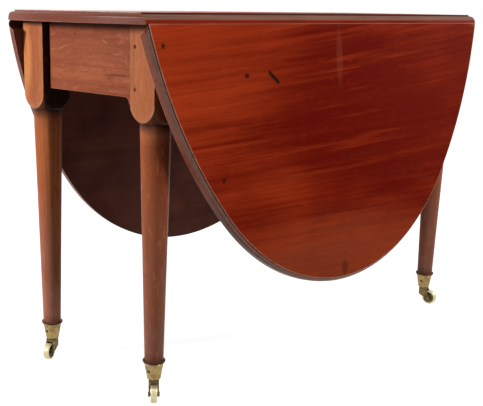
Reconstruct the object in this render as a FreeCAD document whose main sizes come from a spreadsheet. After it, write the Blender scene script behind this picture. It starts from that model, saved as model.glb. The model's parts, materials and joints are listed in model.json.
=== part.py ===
import FreeCAD, Part
import math
import os
from types import SimpleNamespace

import Sketcher

# Swing-leg drop-leaf table with an oval top, rule-jointed leaves and brass cup casters.
# Frame: origin on the floor under the centre, X across the leaves, Y along the hinges, Z up.
# One half is drawn, the half at +X, and the other is the same half turned about the vertical.

Y_AXIS = FreeCAD.Vector(0, 1, 0)
Z_AXIS = FreeCAD.Vector(0, 0, 1)

# Driving dimensions in millimetres and degrees: name, value, what it measures
DRIVING = [
    ("table_height", 720, "floor to the upper surface of the top"),
    ("board_thick", 20, "thickness of the top and of the leaves"),
    ("rule_step", 3, "square step above the ovolo of the edges and the rule joints"),
    ("rule_gap", 0.4, "play between ovolo and cove"),
    ("edge_round", 6.5, "radius of the rounded edge of the outline"),
    ("edge_quirk", 1, "flat between that rounding and the square step above it"),
    ("oval_half_width", 715, "half of the open oval across the leaves"),
    ("oval_half_length", 548, "half of the open oval along the hinges"),
    ("side_round_share", 0.835, "radius of the oval's side arcs, as a share of its half length"),
    ("hinge_half", 188, "centre of the table to a hinge axis"),
    ("leaf_lean", 6, "angle at which a hanging leaf stands out from the vertical"),
    ("leaf_rest_gap", 0.3, "play between a swing leg and the leaf that leans on it"),
    ("leg_inset", 2.5, "hinge axis to the outer face of a fixed leg, across the leaves"),
    ("end_overhang", 61.5, "end of the top beyond the face of an end rail"),
    ("swing_proud", 14, "how far a closed swing leg stands beyond the fixed leg"),
    ("block_width", 65, "side of the square block at the head of a leg"),
    ("block_straight", 137, "length of the block down to the spring of its arched faces"),
    ("leg_top_radius", 28.5, "radius of the turned leg under the block"),
    ("ankle_radius", 18.2, "radius of the turned leg above the ring"),
    ("ring_radius", 22, "outer radius of the turned ring above the caster"),
    ("ring_height", 8, "height of the turned ring"),
    ("rail_depth", 128, "depth of the rails under the top"),
    ("end_rail_thick", 22, "thickness of an end rail"),
    ("inner_rail_thick", 20, "thickness of an inner side rail"),
    ("outer_rail_thick", 22, "thickness of a fly rail and of its knuckles"),
    ("gate_gap", 0.5, "play of the closed gate against the frame"),
    ("gate_drop", 0.5, "play between the gate and the underside of the top"),
    ("bracket_radius", 12, "radius of the bracket under the pegged end of an end rail"),
    ("bracket_land", 3, "flat of that bracket beside the leg"),
    ("tenon_thick", 9, "thickness of the rail tenons"),
    ("tenon_long", 28, "length of the rail tenons"),
    ("tenon_shoulder", 12, "shoulder above and below a tenon"),
    ("mortise_gap", 0.1, "play round a tenon"),
    ("peg_radius", 3.5, "radius of the tenon pegs"),
    ("peg_long", 30, "length of the tenon pegs"),
    ("peg_inset", 13, "seam of the joint to the middle of a peg"),
    ("peg_drop", 39, "underside of the top to the upper peg"),
    ("peg_pitch", 74, "upper peg to the lower peg"),
    ("knuckle_gap", 0.4, "play between the wooden knuckles"),
    ("gate_pin_radius", 4, "radius of the pin through the wooden knuckles"),
    ("pin_play", 0.05, "radial play of a turning fit"),
    ("hinge_long", 60, "length of a leaf hinge"),
    ("hinge_centre_long", 24, "length of the middle knuckle of a leaf hinge"),
    ("hinge_plate", 2, "thickness of the hinge plates"),
    ("hinge_top_wide", 38, "width of the plate under the top"),
    ("hinge_leaf_wide", 56, "width of the plate that reaches across the cove to the leaf"),
    ("hinge_knuckle_radius", 3, "radius of the hinge knuckles"),
    ("hinge_pin_radius", 1.5, "radius of the hinge pins"),
    ("hinge_pitch_share", 0.55, "distance between hinges, as a share of the oval's half length"),
    ("hinge_gap", 0.3, "play between the hinge knuckles"),
    ("hinge_relief", 0.4, "play round a knuckle let into the top"),
    ("hinge_seat", 0.2, "shim between the leaf and its hinge plate"),
    ("glue_block", 18, "side of the glue blocks"),
    ("glue_block_long", 70, "length of the glue blocks"),
    ("glue_pitch_share", 0.51, "distance between glue blocks, as a share of the oval's half length"),
    ("caster_height", 73, "floor to the rim of a caster cup"),
    ("cup_depth", 32, "height of a caster cup"),
    ("cup_top_radius", 18.1, "outer radius of a cup under its rim"),
    ("cup_base_radius", 13.3, "outer radius of a cup at its base"),
    ("cup_wall", 2, "wall of a cup"),
    ("cup_floor", 3, "floor of a cup"),
    ("cup_rim", 1.3, "radius of the bead round the rim"),
    ("cup_round", 3, "rounding of the base"),
    ("cup_fit", 0.1, "play of the leg in its cup"),
    ("swivel_radius", 4, "radius of the swivel pin"),
    ("swivel_head_radius", 6, "radius of the riveted head of the swivel pin"),
    ("swivel_head", 2.5, "thickness of that head"),
    ("swivel_gap", 0.3, "end play of the swivel"),
    ("crown_thick", 4.2, "thickness of the crown of a fork"),
    ("crown_radius", 10, "radius of the crown"),
    ("fork_trail", 18, "swivel axis to wheel axis"),
    ("fork_wide", 20, "width over the cheeks of a fork"),
    ("fork_slot", 14, "width between the cheeks"),
    ("fork_heel", 7, "reach of the cheeks behind the swivel axis"),
    ("fork_knee", 24, "height of the heel's lower end above the floor"),
    ("fork_boss", 5.5, "radius of the boss round the axle"),
    ("axle_radius", 3, "radius of an axle"),
    ("axle_head_radius", 4.4, "radius of the riveted ends of an axle"),
    ("axle_head", 1.2, "thickness of the riveted ends"),
    ("wheel_radius", 17, "radius of a wheel"),
    ("wheel_wide", 12, "width of a wheel"),
    ("wheel_rim", 4, "depth of the rim of a wheel"),
    ("wheel_hub_radius", 6.5, "radius of the hub of a wheel"),
    ("wheel_dish", 2.6, "depth of the recess between rim and hub"),
    ("wheel_edge", 1.6, "rounding of the tread"),
    ("swivel_near_right", -41, "direction in which this caster trails, from the X axis"),
    ("swivel_near_left", -61, "direction in which this caster trails, from the X axis"),
    ("swivel_far_right", 7, "direction in which this caster trails, from the X axis"),
    ("swivel_far_left", 20, "direction in which this caster trails, from the X axis"),
    ("overrun", 5, "how far a cutting shape passes the solid that it cuts"),
]
KNUCKLES = 5
HINGE_PLACES = (-1, 0, 1)
GLUE_PLACES = (-1, 0, 1)


class Size:
    """A length or an angle that keeps its sheet expression beside its value."""

    def __init__(self, text, value):
        self.text = text
        self.value = float(value)

    def __add__(self, other):
        other = as_size(other)
        return Size(f"({self.text} + {other.text})", self.value + other.value)

    def __sub__(self, other):
        other = as_size(other)
        return Size(f"({self.text} - {other.text})", self.value - other.value)

    def __neg__(self):
        return Size(f"(-1 * {self.text})", -self.value)

    def __mul__(self, factor):
        factor = as_size(factor)
        return Size(f"({self.text} * {factor.text})", self.value * factor.value)

    __rmul__ = __mul__

    def __truediv__(self, divisor):
        divisor = as_size(divisor)
        return Size(f"({self.text} / {divisor.text})", self.value / divisor.value)


def as_size(value):
    if isinstance(value, Size):
        return value
    return Size(repr(value), value)


def root(square):
    return Size(f"sqrt({square.text})", math.sqrt(square.value))


def tangent(angle):
    return Size(f"tan({angle.text})", math.tan(math.radians(angle.value)))


ZERO = as_size(0)

doc = FreeCAD.newDocument("drop_leaf_table")
sheet = doc.addObject("Spreadsheet::Sheet", "Sizes")
for row, (alias, value, note) in enumerate(DRIVING, start=1):
    sheet.set(f"A{row}", alias)
    sheet.set(f"B{row}", str(value))
    sheet.set(f"C{row}", note)
    sheet.setAlias(f"B{row}", alias)
doc.recompute()
s = SimpleNamespace(**{alias: Size(f"Sizes.{alias}", sheet.get(alias)) for alias, _, _ in DRIVING})

# Levels and places that several pieces share
underside = s.table_height - s.board_thick
rule_radius = s.board_thick - s.rule_step
cove_radius = rule_radius + s.rule_gap
side_radius = s.oval_half_length * s.side_round_share
side_centre = s.oval_half_width - side_radius
end_squares = side_centre * side_centre + s.oval_half_length * s.oval_half_length - side_radius * side_radius
end_radius = end_squares / ((s.oval_half_length - side_radius) * 2)
end_centre = end_radius - s.oval_half_length
block_half = s.block_width / 2
block_spring = underside - s.block_straight
leg_half_x = s.hinge_half - s.leg_inset - block_half
fixed_leg_y = s.oval_half_length - s.end_overhang - block_half
hinge_pitch = s.oval_half_length * s.hinge_pitch_share
glue_pitch = s.oval_half_length * s.glue_pitch_share
swing_leg_y = fixed_leg_y + s.swing_proud
inner_face = leg_half_x - block_half
frame_half = inner_face - s.gate_gap
frame_end = fixed_leg_y + block_half
rail_bottom = underside - s.rail_depth
tenon_bottom = rail_bottom + s.tenon_shoulder
tenon_depth = s.rail_depth - s.tenon_shoulder * 2
knuckle_radius = s.outer_rail_thick / 2
knuckle_reach = knuckle_radius + s.gate_gap
knuckle_pitch = s.rail_depth / KNUCKLES
pivot_x = inner_face + knuckle_radius
tenon_half = s.tenon_thick / 2
mortise_half = tenon_half + s.mortise_gap
peg_heights = (underside - s.peg_drop, underside - s.peg_drop - s.peg_pitch)
cup_base = s.caster_height - s.cup_depth
cup_inner_base = cup_base + s.cup_floor
head_base = cup_inner_base + s.swivel_gap
crown_top = cup_base - s.swivel_gap
crown_bottom = crown_top - s.crown_thick


def body_of(name):
    body = doc.addObject("PartDesign::Body", name)
    body.Label = name
    return body


def sketch_on(body, plane, offset=ZERO):
    """A sketch on one of the body's origin planes, moved along that plane's normal."""
    sketch = body.newObject("Sketcher::SketchObject", body.Name + "_sketch")
    support = next(f for f in body.Origin.OriginFeatures if f.Role == plane)
    sketch.AttachmentSupport = [(support, "")]
    sketch.MapMode = "FlatFace"
    sketch.setExpression("AttachmentOffset.Base.z", offset.text)
    return sketch


def hold(sketch, kind, axis, geometry, point, size):
    """Fixes one coordinate of a point: from the origin, or on an axis where it is zero."""
    if size.value == 0:
        sketch.addConstraint(Sketcher.Constraint("PointOnObject", geometry, point, axis))
        return
    ends = (-1, 1, geometry, point)
    if size.value < 0:
        ends = (geometry, point, -1, 1)
        size = -size
    index = sketch.addConstraint(Sketcher.Constraint(kind, *ends, size.value))
    sketch.setExpression(f"Constraints[{index}]", size.text)


def hold_x(sketch, geometry, point, size):
    hold(sketch, "DistanceX", -2, geometry, point, size)


def hold_y(sketch, geometry, point, size):
    hold(sketch, "DistanceY", -1, geometry, point, size)


def add_edge(sketch, corner, after):
    """A line to the next corner, or an arc where the corner names a centre and a turn."""
    start = FreeCAD.Vector(corner[0].value, corner[1].value, 0)
    stop = FreeCAD.Vector(after[0].value, after[1].value, 0)
    if len(corner) == 2:
        return sketch.addGeometry(Part.LineSegment(start, stop), False), 1, 2
    centre_x, centre_y, turn = corner[2:]
    centre = FreeCAD.Vector(centre_x.value, centre_y.value, 0)
    angles = [math.atan2(p.y - centre.y, p.x - centre.x) for p in (start, stop)]
    ends = (1, 2)
    if turn == "right":
        angles.reverse()
        ends = (2, 1)
    circle = Part.Circle(centre, Z_AXIS, (start - centre).Length)
    arc = sketch.addGeometry(Part.ArcOfCircle(circle, *angles), False)
    hold_x(sketch, arc, 3, centre_x)
    hold_y(sketch, arc, 3, centre_y)
    return (arc, *ends)


def outline(sketch, corners):
    """A closed outline of lines and arcs. A corner is (x, y) or (x, y, centre x, centre y, turn)."""
    edges = [add_edge(sketch, c, corners[(i + 1) % len(corners)]) for i, c in enumerate(corners)]
    for i, corner in enumerate(corners):
        before = corners[i - 1]
        last, _, last_end = edges[i - 1]
        this, this_end, _ = edges[i]
        sketch.addConstraint(Sketcher.Constraint("Coincident", last, last_end, this, this_end))
        across = True
        along = True
        if len(before) > 2:
            reach_x = abs(corner[0].value - before[2].value)
            reach_y = abs(corner[1].value - before[3].value)
            across = reach_y >= reach_x
            along = not across
        if across:
            hold_x(sketch, this, this_end, corner[0])
        if along:
            hold_y(sketch, this, this_end, corner[1])


def rectangle(sketch, x0, x1, y0, y1):
    outline(sketch, [(x0, y0), (x1, y0), (x1, y1), (x0, y1)])


def circle(sketch, x, y, radius):
    shape = Part.Circle(FreeCAD.Vector(x.value, y.value, 0), Z_AXIS, radius.value)
    ring = sketch.addGeometry(shape, False)
    hold_x(sketch, ring, 3, x)
    hold_y(sketch, ring, 3, y)
    index = sketch.addConstraint(Sketcher.Constraint("Radius", ring, radius.value))
    sketch.setExpression(f"Constraints[{index}]", radius.text)


def oval(sketch, centre_x, inset):
    """An oval of four arcs that meet tangent, inside the open oval by an inset."""
    radius = side_radius - inset
    bend_x = side_centre + radius * side_centre / (end_radius - side_radius)
    bend_y = radius * end_centre / (end_radius - side_radius)
    places = [
        (centre_x + bend_x, -bend_y, centre_x + side_centre, ZERO),
        (centre_x + bend_x, bend_y, centre_x, -end_centre),
        (centre_x - bend_x, bend_y, centre_x - side_centre, ZERO),
        (centre_x - bend_x, -bend_y, centre_x, end_centre),
    ]
    arcs = []
    for i, (x, y, middle_x, middle_y) in enumerate(places):
        after_x, after_y = places[(i + 1) % len(places)][:2]
        middle = FreeCAD.Vector(middle_x.value, middle_y.value, 0)
        start = FreeCAD.Vector(x.value, y.value, 0) - middle
        stop = FreeCAD.Vector(after_x.value, after_y.value, 0) - middle
        angles = [math.atan2(way.y, way.x) for way in (start, stop)]
        ring = Part.Circle(middle, Z_AXIS, start.Length)
        arcs.append(sketch.addGeometry(Part.ArcOfCircle(ring, *angles), False))
    for i, (x, y, middle_x, middle_y) in enumerate(places):
        sketch.addConstraint(Sketcher.Constraint("Coincident", arcs[i - 1], 2, arcs[i], 1))
        hold_x(sketch, arcs[i], 1, x)
        hold_y(sketch, arcs[i], 1, y)
        if middle_y.value == 0:
            hold_x(sketch, arcs[i], 3, middle_x)
        else:
            hold_y(sketch, arcs[i], 3, middle_y)


def pad(body, sketch, length, both_ways=False):
    feature = body.newObject("PartDesign::Pad", body.Name + "_pad")
    feature.Profile = sketch
    feature.setExpression("Length", length.text)
    if both_ways:
        feature.SideType = "Symmetric"
    return feature


def pocket(body, sketch, length=None, both_ways=False):
    """A cut against the sketch's normal to a depth, or right through in both directions."""
    feature = body.newObject("PartDesign::Pocket", body.Name + "_pocket")
    feature.Profile = sketch
    if length is None:
        feature.Type = "ThroughAll"
    else:
        feature.setExpression("Length", length.text)
    if both_ways:
        feature.SideType = "Symmetric"
    return feature


def turned(body, sketch, kind="PartDesign::Revolution"):
    feature = body.newObject(kind, body.Name + "_turned")
    feature.Profile = sketch
    feature.ReferenceAxis = (sketch, ["V_Axis"])
    return feature


def box(name, x0, x1, y0, y1, z0, z1):
    solid = doc.addObject("Part::Box", name)
    for side, low, high in (("Length", x0, x1), ("Width", y0, y1), ("Height", z0, z1)):
        solid.setExpression(side, (high - low).text)
    for axis, low in (("x", x0), ("y", y0), ("z", z0)):
        solid.setExpression(f"Placement.Base.{axis}", low.text)
    return solid


def rod(name, radius, long, at, axis):
    """A cylinder that starts at a point and runs along an axis."""
    solid = doc.addObject("Part::Cylinder", name)
    solid.setExpression("Radius", radius.text)
    solid.setExpression("Height", long.text)
    for letter, place in zip("xyz", at):
        solid.setExpression(f"Placement.Base.{letter}", place.text)
    solid.Placement.Rotation = FreeCAD.Rotation(Z_AXIS, axis)
    return solid


def joined(name, solids):
    fuse = doc.addObject("Part::MultiFuse", name)
    fuse.Shapes = solids
    return fuse


def drilled(name, solid, tool):
    cut = doc.addObject("Part::Cut", name)
    cut.Base = solid
    cut.Tool = tool
    return cut


def group(name, solids):
    """Like pieces that share one node."""
    like = doc.addObject("Part::Compound", name)
    like.Links = solids
    like.Label = name
    return like


def moved(*at):
    return FreeCAD.Placement(FreeCAD.Vector(*(place.value for place in at)), FreeCAD.Rotation())


def spun(axis, degrees):
    return FreeCAD.Placement(FreeCAD.Vector(), FreeCAD.Rotation(axis, degrees))


# The drawn half is the right one, with its fixed leg near and its swing leg far
HALVES = {
    "right": SimpleNamespace(spin=spun(Z_AXIS, 0), fixed="near_right", swing="far_right", end="near"),
    "left": SimpleNamespace(spin=spun(Z_AXIS, 180), fixed="far_left", swing="near_left", end="far"),
}

# A leaf leans on the corner of its swing leg, so the gate stands ajar by this angle
leaf_corner_x = s.hinge_half + cove_radius * tangent(s.leaf_lean) - s.leaf_rest_gap
corner_x = (leg_half_x + block_half - pivot_x).value
corner_y = (swing_leg_y + block_half).value
corner_reach = math.hypot(corner_x, corner_y)
corner_swing = math.asin((leaf_corner_x - pivot_x).value / corner_reach)
gate_ajar = math.degrees(corner_swing - math.atan2(corner_x, corner_y))
gate_placement = moved(pivot_x, ZERO, ZERO) * spun(Z_AXIS, -gate_ajar) * moved(-pivot_x, ZERO, ZERO)
leaf_placement = moved(s.hinge_half, ZERO, underside) * spun(Y_AXIS, 90 - s.leaf_lean.value)
hinge_placement = moved(s.hinge_half, ZERO, underside)

nodes = {}


def keep(name, piece, placement):
    piece.Label = name
    piece.Placement = placement
    nodes[name] = piece


def moulded_oval(body, centre_x):
    """The open oval with a rounded edge under a square step, underside at zero."""
    lower = sketch_on(body, "XY_Plane")
    oval(lower, centre_x, ZERO)
    board = pad(body, lower, rule_radius)
    doc.recompute()
    rim = [
        f"Edge{i}"
        for i, edge in enumerate(board.Shape.Edges, start=1)
        if edge.BoundBox.ZMin > rule_radius.value / 2
    ]
    ovolo = body.newObject("PartDesign::Fillet", body.Name + "_ovolo")
    ovolo.Base = (board, rim)
    ovolo.setExpression("Radius", s.edge_round.text)
    upper = sketch_on(body, "XY_Plane", rule_radius)
    oval(upper, centre_x, s.edge_round + s.edge_quirk)
    pad(body, upper, s.rule_step)


def hinge_grooves(body):
    """Grooves in the underside for the knuckles of the leaf hinges, along both edges."""
    for place in HINGE_PLACES:
        grooves = sketch_on(body, "XZ_Plane", hinge_pitch * place)
        for hinge_x in (s.hinge_half, -s.hinge_half):
            circle(grooves, hinge_x, ZERO, s.hinge_knuckle_radius + s.hinge_relief)
        pocket(body, grooves, s.hinge_long + s.hinge_relief * 2, both_ways=True)


def top_board():
    body = body_of("top_board")
    moulded_oval(body, ZERO)
    joints = sketch_on(body, "XZ_Plane")
    low = -s.overrun
    high = s.board_thick + s.overrun
    far = s.oval_half_width + s.overrun
    edge = s.hinge_half + rule_radius
    outline(joints, [
        (s.hinge_half, high), (s.hinge_half, rule_radius, s.hinge_half, ZERO, "right"),
        (edge, ZERO), (edge, low), (far, low), (far, high),
    ])
    outline(joints, [
        (-s.hinge_half, high), (-s.hinge_half, rule_radius, -s.hinge_half, ZERO, "left"),
        (-edge, ZERO), (-edge, low), (-far, low), (-far, high),
    ])
    pocket(body, joints, both_ways=True)
    hinge_grooves(body)
    keep("top_board", body, moved(ZERO, ZERO, underside))


def leaf(side, half):
    """A leaf, drawn level with its hinge axis at the origin and then hung from it."""
    name = f"leaf_{side}"
    body = body_of(name)
    moulded_oval(body, -s.hinge_half)
    joint = sketch_on(body, "XZ_Plane")
    low = -s.overrun
    high = s.board_thick + s.overrun
    far = -(s.hinge_half + s.oval_half_width + s.overrun)
    lip = root(cove_radius * cove_radius - s.rule_gap * s.rule_gap)
    outline(joint, [
        (far, low), (cove_radius, low), (cove_radius, ZERO, ZERO, ZERO, "left"),
        (s.rule_gap, lip), (s.rule_gap, high), (far, high),
    ])
    pocket(body, joint, both_ways=True)
    keep(name, body, half.spin * leaf_placement)


def hinge_parts(side, half):
    """Three drop-leaf hinges: short plates under the top, long plates under the leaf, and pins."""
    long_half = s.hinge_long / 2
    centre_half = s.hinge_centre_long / 2
    clear = s.hinge_knuckle_radius + s.hinge_gap
    outer_start = centre_half + s.hinge_gap
    bore = s.hinge_pin_radius + s.pin_play
    top_plates = []
    leaf_plates = []
    pins = []
    for place in HINGE_PLACES:
        mid = hinge_pitch * place
        start = mid - long_half
        stop = mid + long_half
        solids = [box("plate", -s.hinge_top_wide, -clear, start, stop, -s.hinge_plate, ZERO)]
        for low, high in ((start, mid - outer_start), (mid + outer_start, stop)):
            solids.append(box("tongue", -clear, ZERO, low, high, -s.hinge_plate, ZERO))
            solids.append(rod("knuckle", s.hinge_knuckle_radius, high - low, (ZERO, low, ZERO), Y_AXIS))
        hole = rod("bore", bore, s.hinge_long, (ZERO, start, ZERO), Y_AXIS)
        top_plates.append(drilled("top_plate", joined("top_plate_blank", solids), hole))
        face = -s.hinge_seat
        back = face - s.hinge_plate
        low = mid - centre_half
        high = mid + centre_half
        solids = [
            box("plate", clear, s.hinge_leaf_wide, start, stop, back, face),
            box("tongue", ZERO, clear, low, high, back, face),
            rod("knuckle", s.hinge_knuckle_radius, high - low, (ZERO, low, ZERO), Y_AXIS),
        ]
        hole = rod("bore", bore, s.hinge_long, (ZERO, start, ZERO), Y_AXIS)
        leaf_plates.append(drilled("leaf_plate", joined("leaf_plate_blank", solids), hole))
        pins.append(rod("pin", s.hinge_pin_radius, s.hinge_long, (ZERO, start, ZERO), Y_AXIS))
    name = f"hinge_top_plates_{side}"
    keep(name, group(name, top_plates), half.spin * hinge_placement)
    name = f"hinge_leaf_plates_{side}"
    keep(name, group(name, leaf_plates), half.spin * leaf_placement)
    name = f"hinge_pins_{side}"
    keep(name, group(name, pins), half.spin * hinge_placement)


def end_rail(half):
    """An end rail: pegged into the fixed leg over a small bracket, free beside the swing leg."""
    name = f"end_rail_{half.end}"
    body = body_of(name)
    bracket_x = inner_face - s.bracket_land
    face = sketch_on(body, "XZ_Plane", frame_end)
    outline(face, [
        (-frame_half, rail_bottom),
        (bracket_x - s.bracket_radius, rail_bottom,
         bracket_x - s.bracket_radius, rail_bottom - s.bracket_radius, "right"),
        (bracket_x, rail_bottom - s.bracket_radius),
        (inner_face, rail_bottom - s.bracket_radius),
        (inner_face, underside), (-frame_half, underside),
    ])
    rail = pad(body, face, s.end_rail_thick)
    rail.Reversed = True
    middle = frame_end - s.end_rail_thick / 2
    tenon = sketch_on(body, "XY_Plane", tenon_bottom)
    rectangle(tenon, inner_face, inner_face + s.tenon_long, -middle - tenon_half, -middle + tenon_half)
    pad(body, tenon, tenon_depth)
    holes = sketch_on(body, "XZ_Plane", frame_end)
    for height in peg_heights:
        circle(holes, inner_face + s.peg_inset, height, s.peg_radius)
    pocket(body, holes, s.end_rail_thick)
    keep(name, body, half.spin)


def rail_pegs(half):
    """Pegs through the face of the fixed leg and the tenon of the end rail."""
    pegs = [
        rod("peg", s.peg_radius, s.peg_long, (inner_face + s.peg_inset, -frame_end, height), Y_AXIS)
        for height in peg_heights
    ]
    name = f"rail_pegs_{half.end}"
    keep(name, group(name, pegs), half.spin)


def inner_rail(side, half):
    """The inner side rail, housed between the two end rails."""
    name = f"inner_rail_{side}"
    reach = frame_end - s.end_rail_thick
    rail = box(name + "_board", frame_half - s.inner_rail_thick, frame_half, -reach, reach,
               rail_bottom, underside)
    keep(name, group(name, [rail]), half.spin)


def knuckle_slots(body, taken, near_y, far_y):
    """Cuts away the heights that belong to the other rail's knuckles."""
    slots = sketch_on(body, "YZ_Plane")
    for k in taken:
        low = rail_bottom + knuckle_pitch * k - s.knuckle_gap / 2
        high = rail_bottom + knuckle_pitch * (k + 1) + s.knuckle_gap / 2
        rectangle(slots, near_y, far_y, low, high)
    pocket(body, slots, both_ways=True)


def pin_hole(body):
    hole = sketch_on(body, "XY_Plane")
    circle(hole, pivot_x, ZERO, s.gate_pin_radius + s.pin_play)
    pocket(body, hole, both_ways=True)


def side_tenon(body, start_y, stop_y):
    tenon = sketch_on(body, "XY_Plane", tenon_bottom)
    rectangle(tenon, pivot_x - tenon_half, pivot_x + tenon_half, start_y, stop_y)
    pad(body, tenon, tenon_depth)


def fixed_rail(side, half):
    """The outer rail from the fixed leg to the wooden knuckles, against the inner rail."""
    name = f"fixed_rail_{side}"
    body = body_of(name)
    leg_face = -(fixed_leg_y - block_half)
    inside = pivot_x - knuckle_radius
    outside = pivot_x + knuckle_radius
    plan = sketch_on(body, "XY_Plane", rail_bottom)
    outline(plan, [
        (frame_half, leg_face), (outside, leg_face), (outside, ZERO, pivot_x, ZERO, "left"),
        (inside, ZERO), (inside, -knuckle_reach), (frame_half, -knuckle_reach),
    ])
    pad(body, plan, s.rail_depth)
    side_tenon(body, leg_face - s.tenon_long, leg_face)
    knuckle_slots(body, range(1, KNUCKLES, 2), -knuckle_reach, knuckle_radius + s.overrun)
    pin_hole(body)
    keep(name, body, half.spin)


def fly_rail(side, half):
    """The swinging rail from the wooden knuckles to the swing leg."""
    name = f"fly_rail_{side}"
    body = body_of(name)
    leg_face = swing_leg_y - block_half
    inside = pivot_x - knuckle_radius
    outside = pivot_x + knuckle_radius
    plan = sketch_on(body, "XY_Plane", rail_bottom)
    outline(plan, [
        (inside, leg_face), (inside, ZERO, pivot_x, ZERO, "left"), (outside, ZERO), (outside, leg_face),
    ])
    pad(body, plan, s.rail_depth - s.gate_drop)
    side_tenon(body, leg_face, leg_face + s.tenon_long)
    knuckle_slots(body, range(0, KNUCKLES, 2), -(knuckle_radius + s.overrun), knuckle_reach)
    pin_hole(body)
    keep(name, body, half.spin * gate_placement)


def gate_pin(side, half):
    name = f"gate_pin_{side}"
    pin = rod(name + "_rod", s.gate_pin_radius, s.rail_depth, (pivot_x, ZERO, rail_bottom), Z_AXIS)
    keep(name, group(name, [pin]), half.spin)


def glue_blocks(side, half):
    """Rubbed blocks in the corner between the inner rail and the top."""
    inside = frame_half - s.inner_rail_thick
    blocks = []
    for place in GLUE_PLACES:
        mid = glue_pitch * place
        block = box("glue_block", inside - s.glue_block, inside, mid - s.glue_block_long / 2,
                    mid + s.glue_block_long / 2, underside - s.glue_block, underside)
        blocks.append(block)
    name = f"glue_blocks_{side}"
    keep(name, group(name, blocks), half.spin)


def mortise(body, x0, x1, y0, y1):
    room = sketch_on(body, "XY_Plane", tenon_bottom + tenon_depth + s.mortise_gap)
    rectangle(room, x0, x1, y0, y1)
    pocket(body, room, tenon_depth + s.mortise_gap * 2)


def leg(name, block_top, inward, end_joint):
    """A leg on its own axis: arched block, straight turned taper, ring and foot in the cup."""
    body = body_of(name)
    ball = block_half * math.sqrt(2)
    block_foot = block_spring - root(ball * ball - s.leg_top_radius * s.leg_top_radius)
    square = sketch_on(body, "XY_Plane", block_foot)
    rectangle(square, -block_half, block_half, -block_half, block_half)
    pad(body, square, block_top - block_foot)
    far = ball + s.overrun
    arches = sketch_on(body, "XZ_Plane")
    outline(arches, [
        (far, block_spring), (ball, block_spring, ZERO, block_spring, "right"),
        (s.leg_top_radius, block_foot), (s.leg_top_radius, block_foot - s.overrun),
        (far, block_foot - s.overrun),
    ])
    turned(body, arches, "PartDesign::Groove")
    cup_top_inner = s.cup_top_radius - s.cup_wall
    cup_base_inner = s.cup_base_radius - s.cup_wall
    foot = head_base + s.swivel_head + s.swivel_gap
    slope = (cup_top_inner - cup_base_inner) / (s.caster_height - cup_inner_base)
    foot_radius = cup_base_inner + slope * (foot - cup_inner_base) - s.cup_fit
    ring_top = s.caster_height + s.ring_height
    ring_middle = s.caster_height + s.ring_height / 2
    ring_bulge = s.ring_radius - s.ankle_radius
    half_height = s.ring_height / 2
    bead = (ring_bulge * ring_bulge + half_height * half_height) / (ring_bulge * 2)
    profile = sketch_on(body, "XZ_Plane")
    outline(profile, [
        (ZERO, foot), (foot_radius, foot), (cup_top_inner - s.cup_fit, s.caster_height),
        (s.ankle_radius, s.caster_height, s.ring_radius - bead, ring_middle, "left"),
        (s.ankle_radius, ring_top), (s.leg_top_radius, block_foot), (ZERO, block_foot),
    ])
    turned(body, profile)
    side_x = pivot_x - leg_half_x
    start = (block_half - s.tenon_long - s.mortise_gap) * inward
    stop = (block_half + s.overrun) * inward
    low, high = (start, stop) if inward > 0 else (stop, start)
    mortise(body, side_x - mortise_half, side_x + mortise_half, low, high)
    if end_joint:
        middle = -(block_half - s.end_rail_thick / 2)
        mortise(body, -(block_half + s.overrun), s.tenon_long + s.mortise_gap - block_half,
                middle - mortise_half, middle + mortise_half)
        holes = sketch_on(body, "XZ_Plane", block_half)
        for height in peg_heights:
            circle(holes, s.peg_inset - block_half, height, s.peg_radius)
        pocket(body, holes, s.peg_long)
    return body


def caster_cup(corner, axis):
    name = f"caster_cup_{corner}"
    body = body_of(name)
    rim_base = s.caster_height - s.cup_rim * 2
    bore = s.swivel_radius + s.pin_play
    profile = sketch_on(body, "XZ_Plane")
    outline(profile, [
        (bore, cup_base),
        (s.cup_base_radius - s.cup_round, cup_base,
         s.cup_base_radius - s.cup_round, cup_base + s.cup_round, "left"),
        (s.cup_base_radius, cup_base + s.cup_round),
        (s.cup_top_radius, rim_base, s.cup_top_radius, s.caster_height - s.cup_rim, "left"),
        (s.cup_top_radius, s.caster_height),
        (s.cup_top_radius - s.cup_wall, s.caster_height),
        (s.cup_base_radius - s.cup_wall, cup_inner_base),
        (bore, cup_inner_base),
    ])
    turned(body, profile)
    keep(name, body, axis)


def caster_fork(corner, axis):
    """A fork on its swivel axis, trailing along X: cheeks, bosses, crown, pin and riveted head."""
    name = f"caster_fork_{corner}"
    body = body_of(name)
    axle_z = s.wheel_radius
    cheeks = sketch_on(body, "XZ_Plane")
    outline(cheeks, [
        (-s.fork_heel, crown_top), (-s.fork_heel, s.fork_knee), (s.fork_trail, axle_z - s.fork_boss),
        (s.fork_trail + s.fork_boss, axle_z), (s.crown_radius, crown_bottom), (s.crown_radius, crown_top),
    ])
    pad(body, cheeks, s.fork_wide, both_ways=True)
    bosses = sketch_on(body, "XZ_Plane")
    circle(bosses, s.fork_trail, axle_z, s.fork_boss)
    pad(body, bosses, s.fork_wide, both_ways=True)
    slot = sketch_on(body, "YZ_Plane")
    rectangle(slot, -s.fork_slot / 2, s.fork_slot / 2, -s.overrun, crown_bottom)
    pocket(body, slot, both_ways=True)
    crown = sketch_on(body, "XY_Plane", crown_bottom)
    circle(crown, ZERO, ZERO, s.crown_radius)
    pad(body, crown, s.crown_thick)
    pin = sketch_on(body, "XY_Plane", crown_bottom)
    circle(pin, ZERO, ZERO, s.swivel_radius)
    pad(body, pin, head_base + s.swivel_head - crown_bottom)
    head = sketch_on(body, "XY_Plane", head_base)
    circle(head, ZERO, ZERO, s.swivel_head_radius)
    pad(body, head, s.swivel_head)
    hole = sketch_on(body, "XZ_Plane")
    circle(hole, s.fork_trail, axle_z, s.axle_radius)
    pocket(body, hole, both_ways=True)
    keep(name, body, axis)


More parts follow.
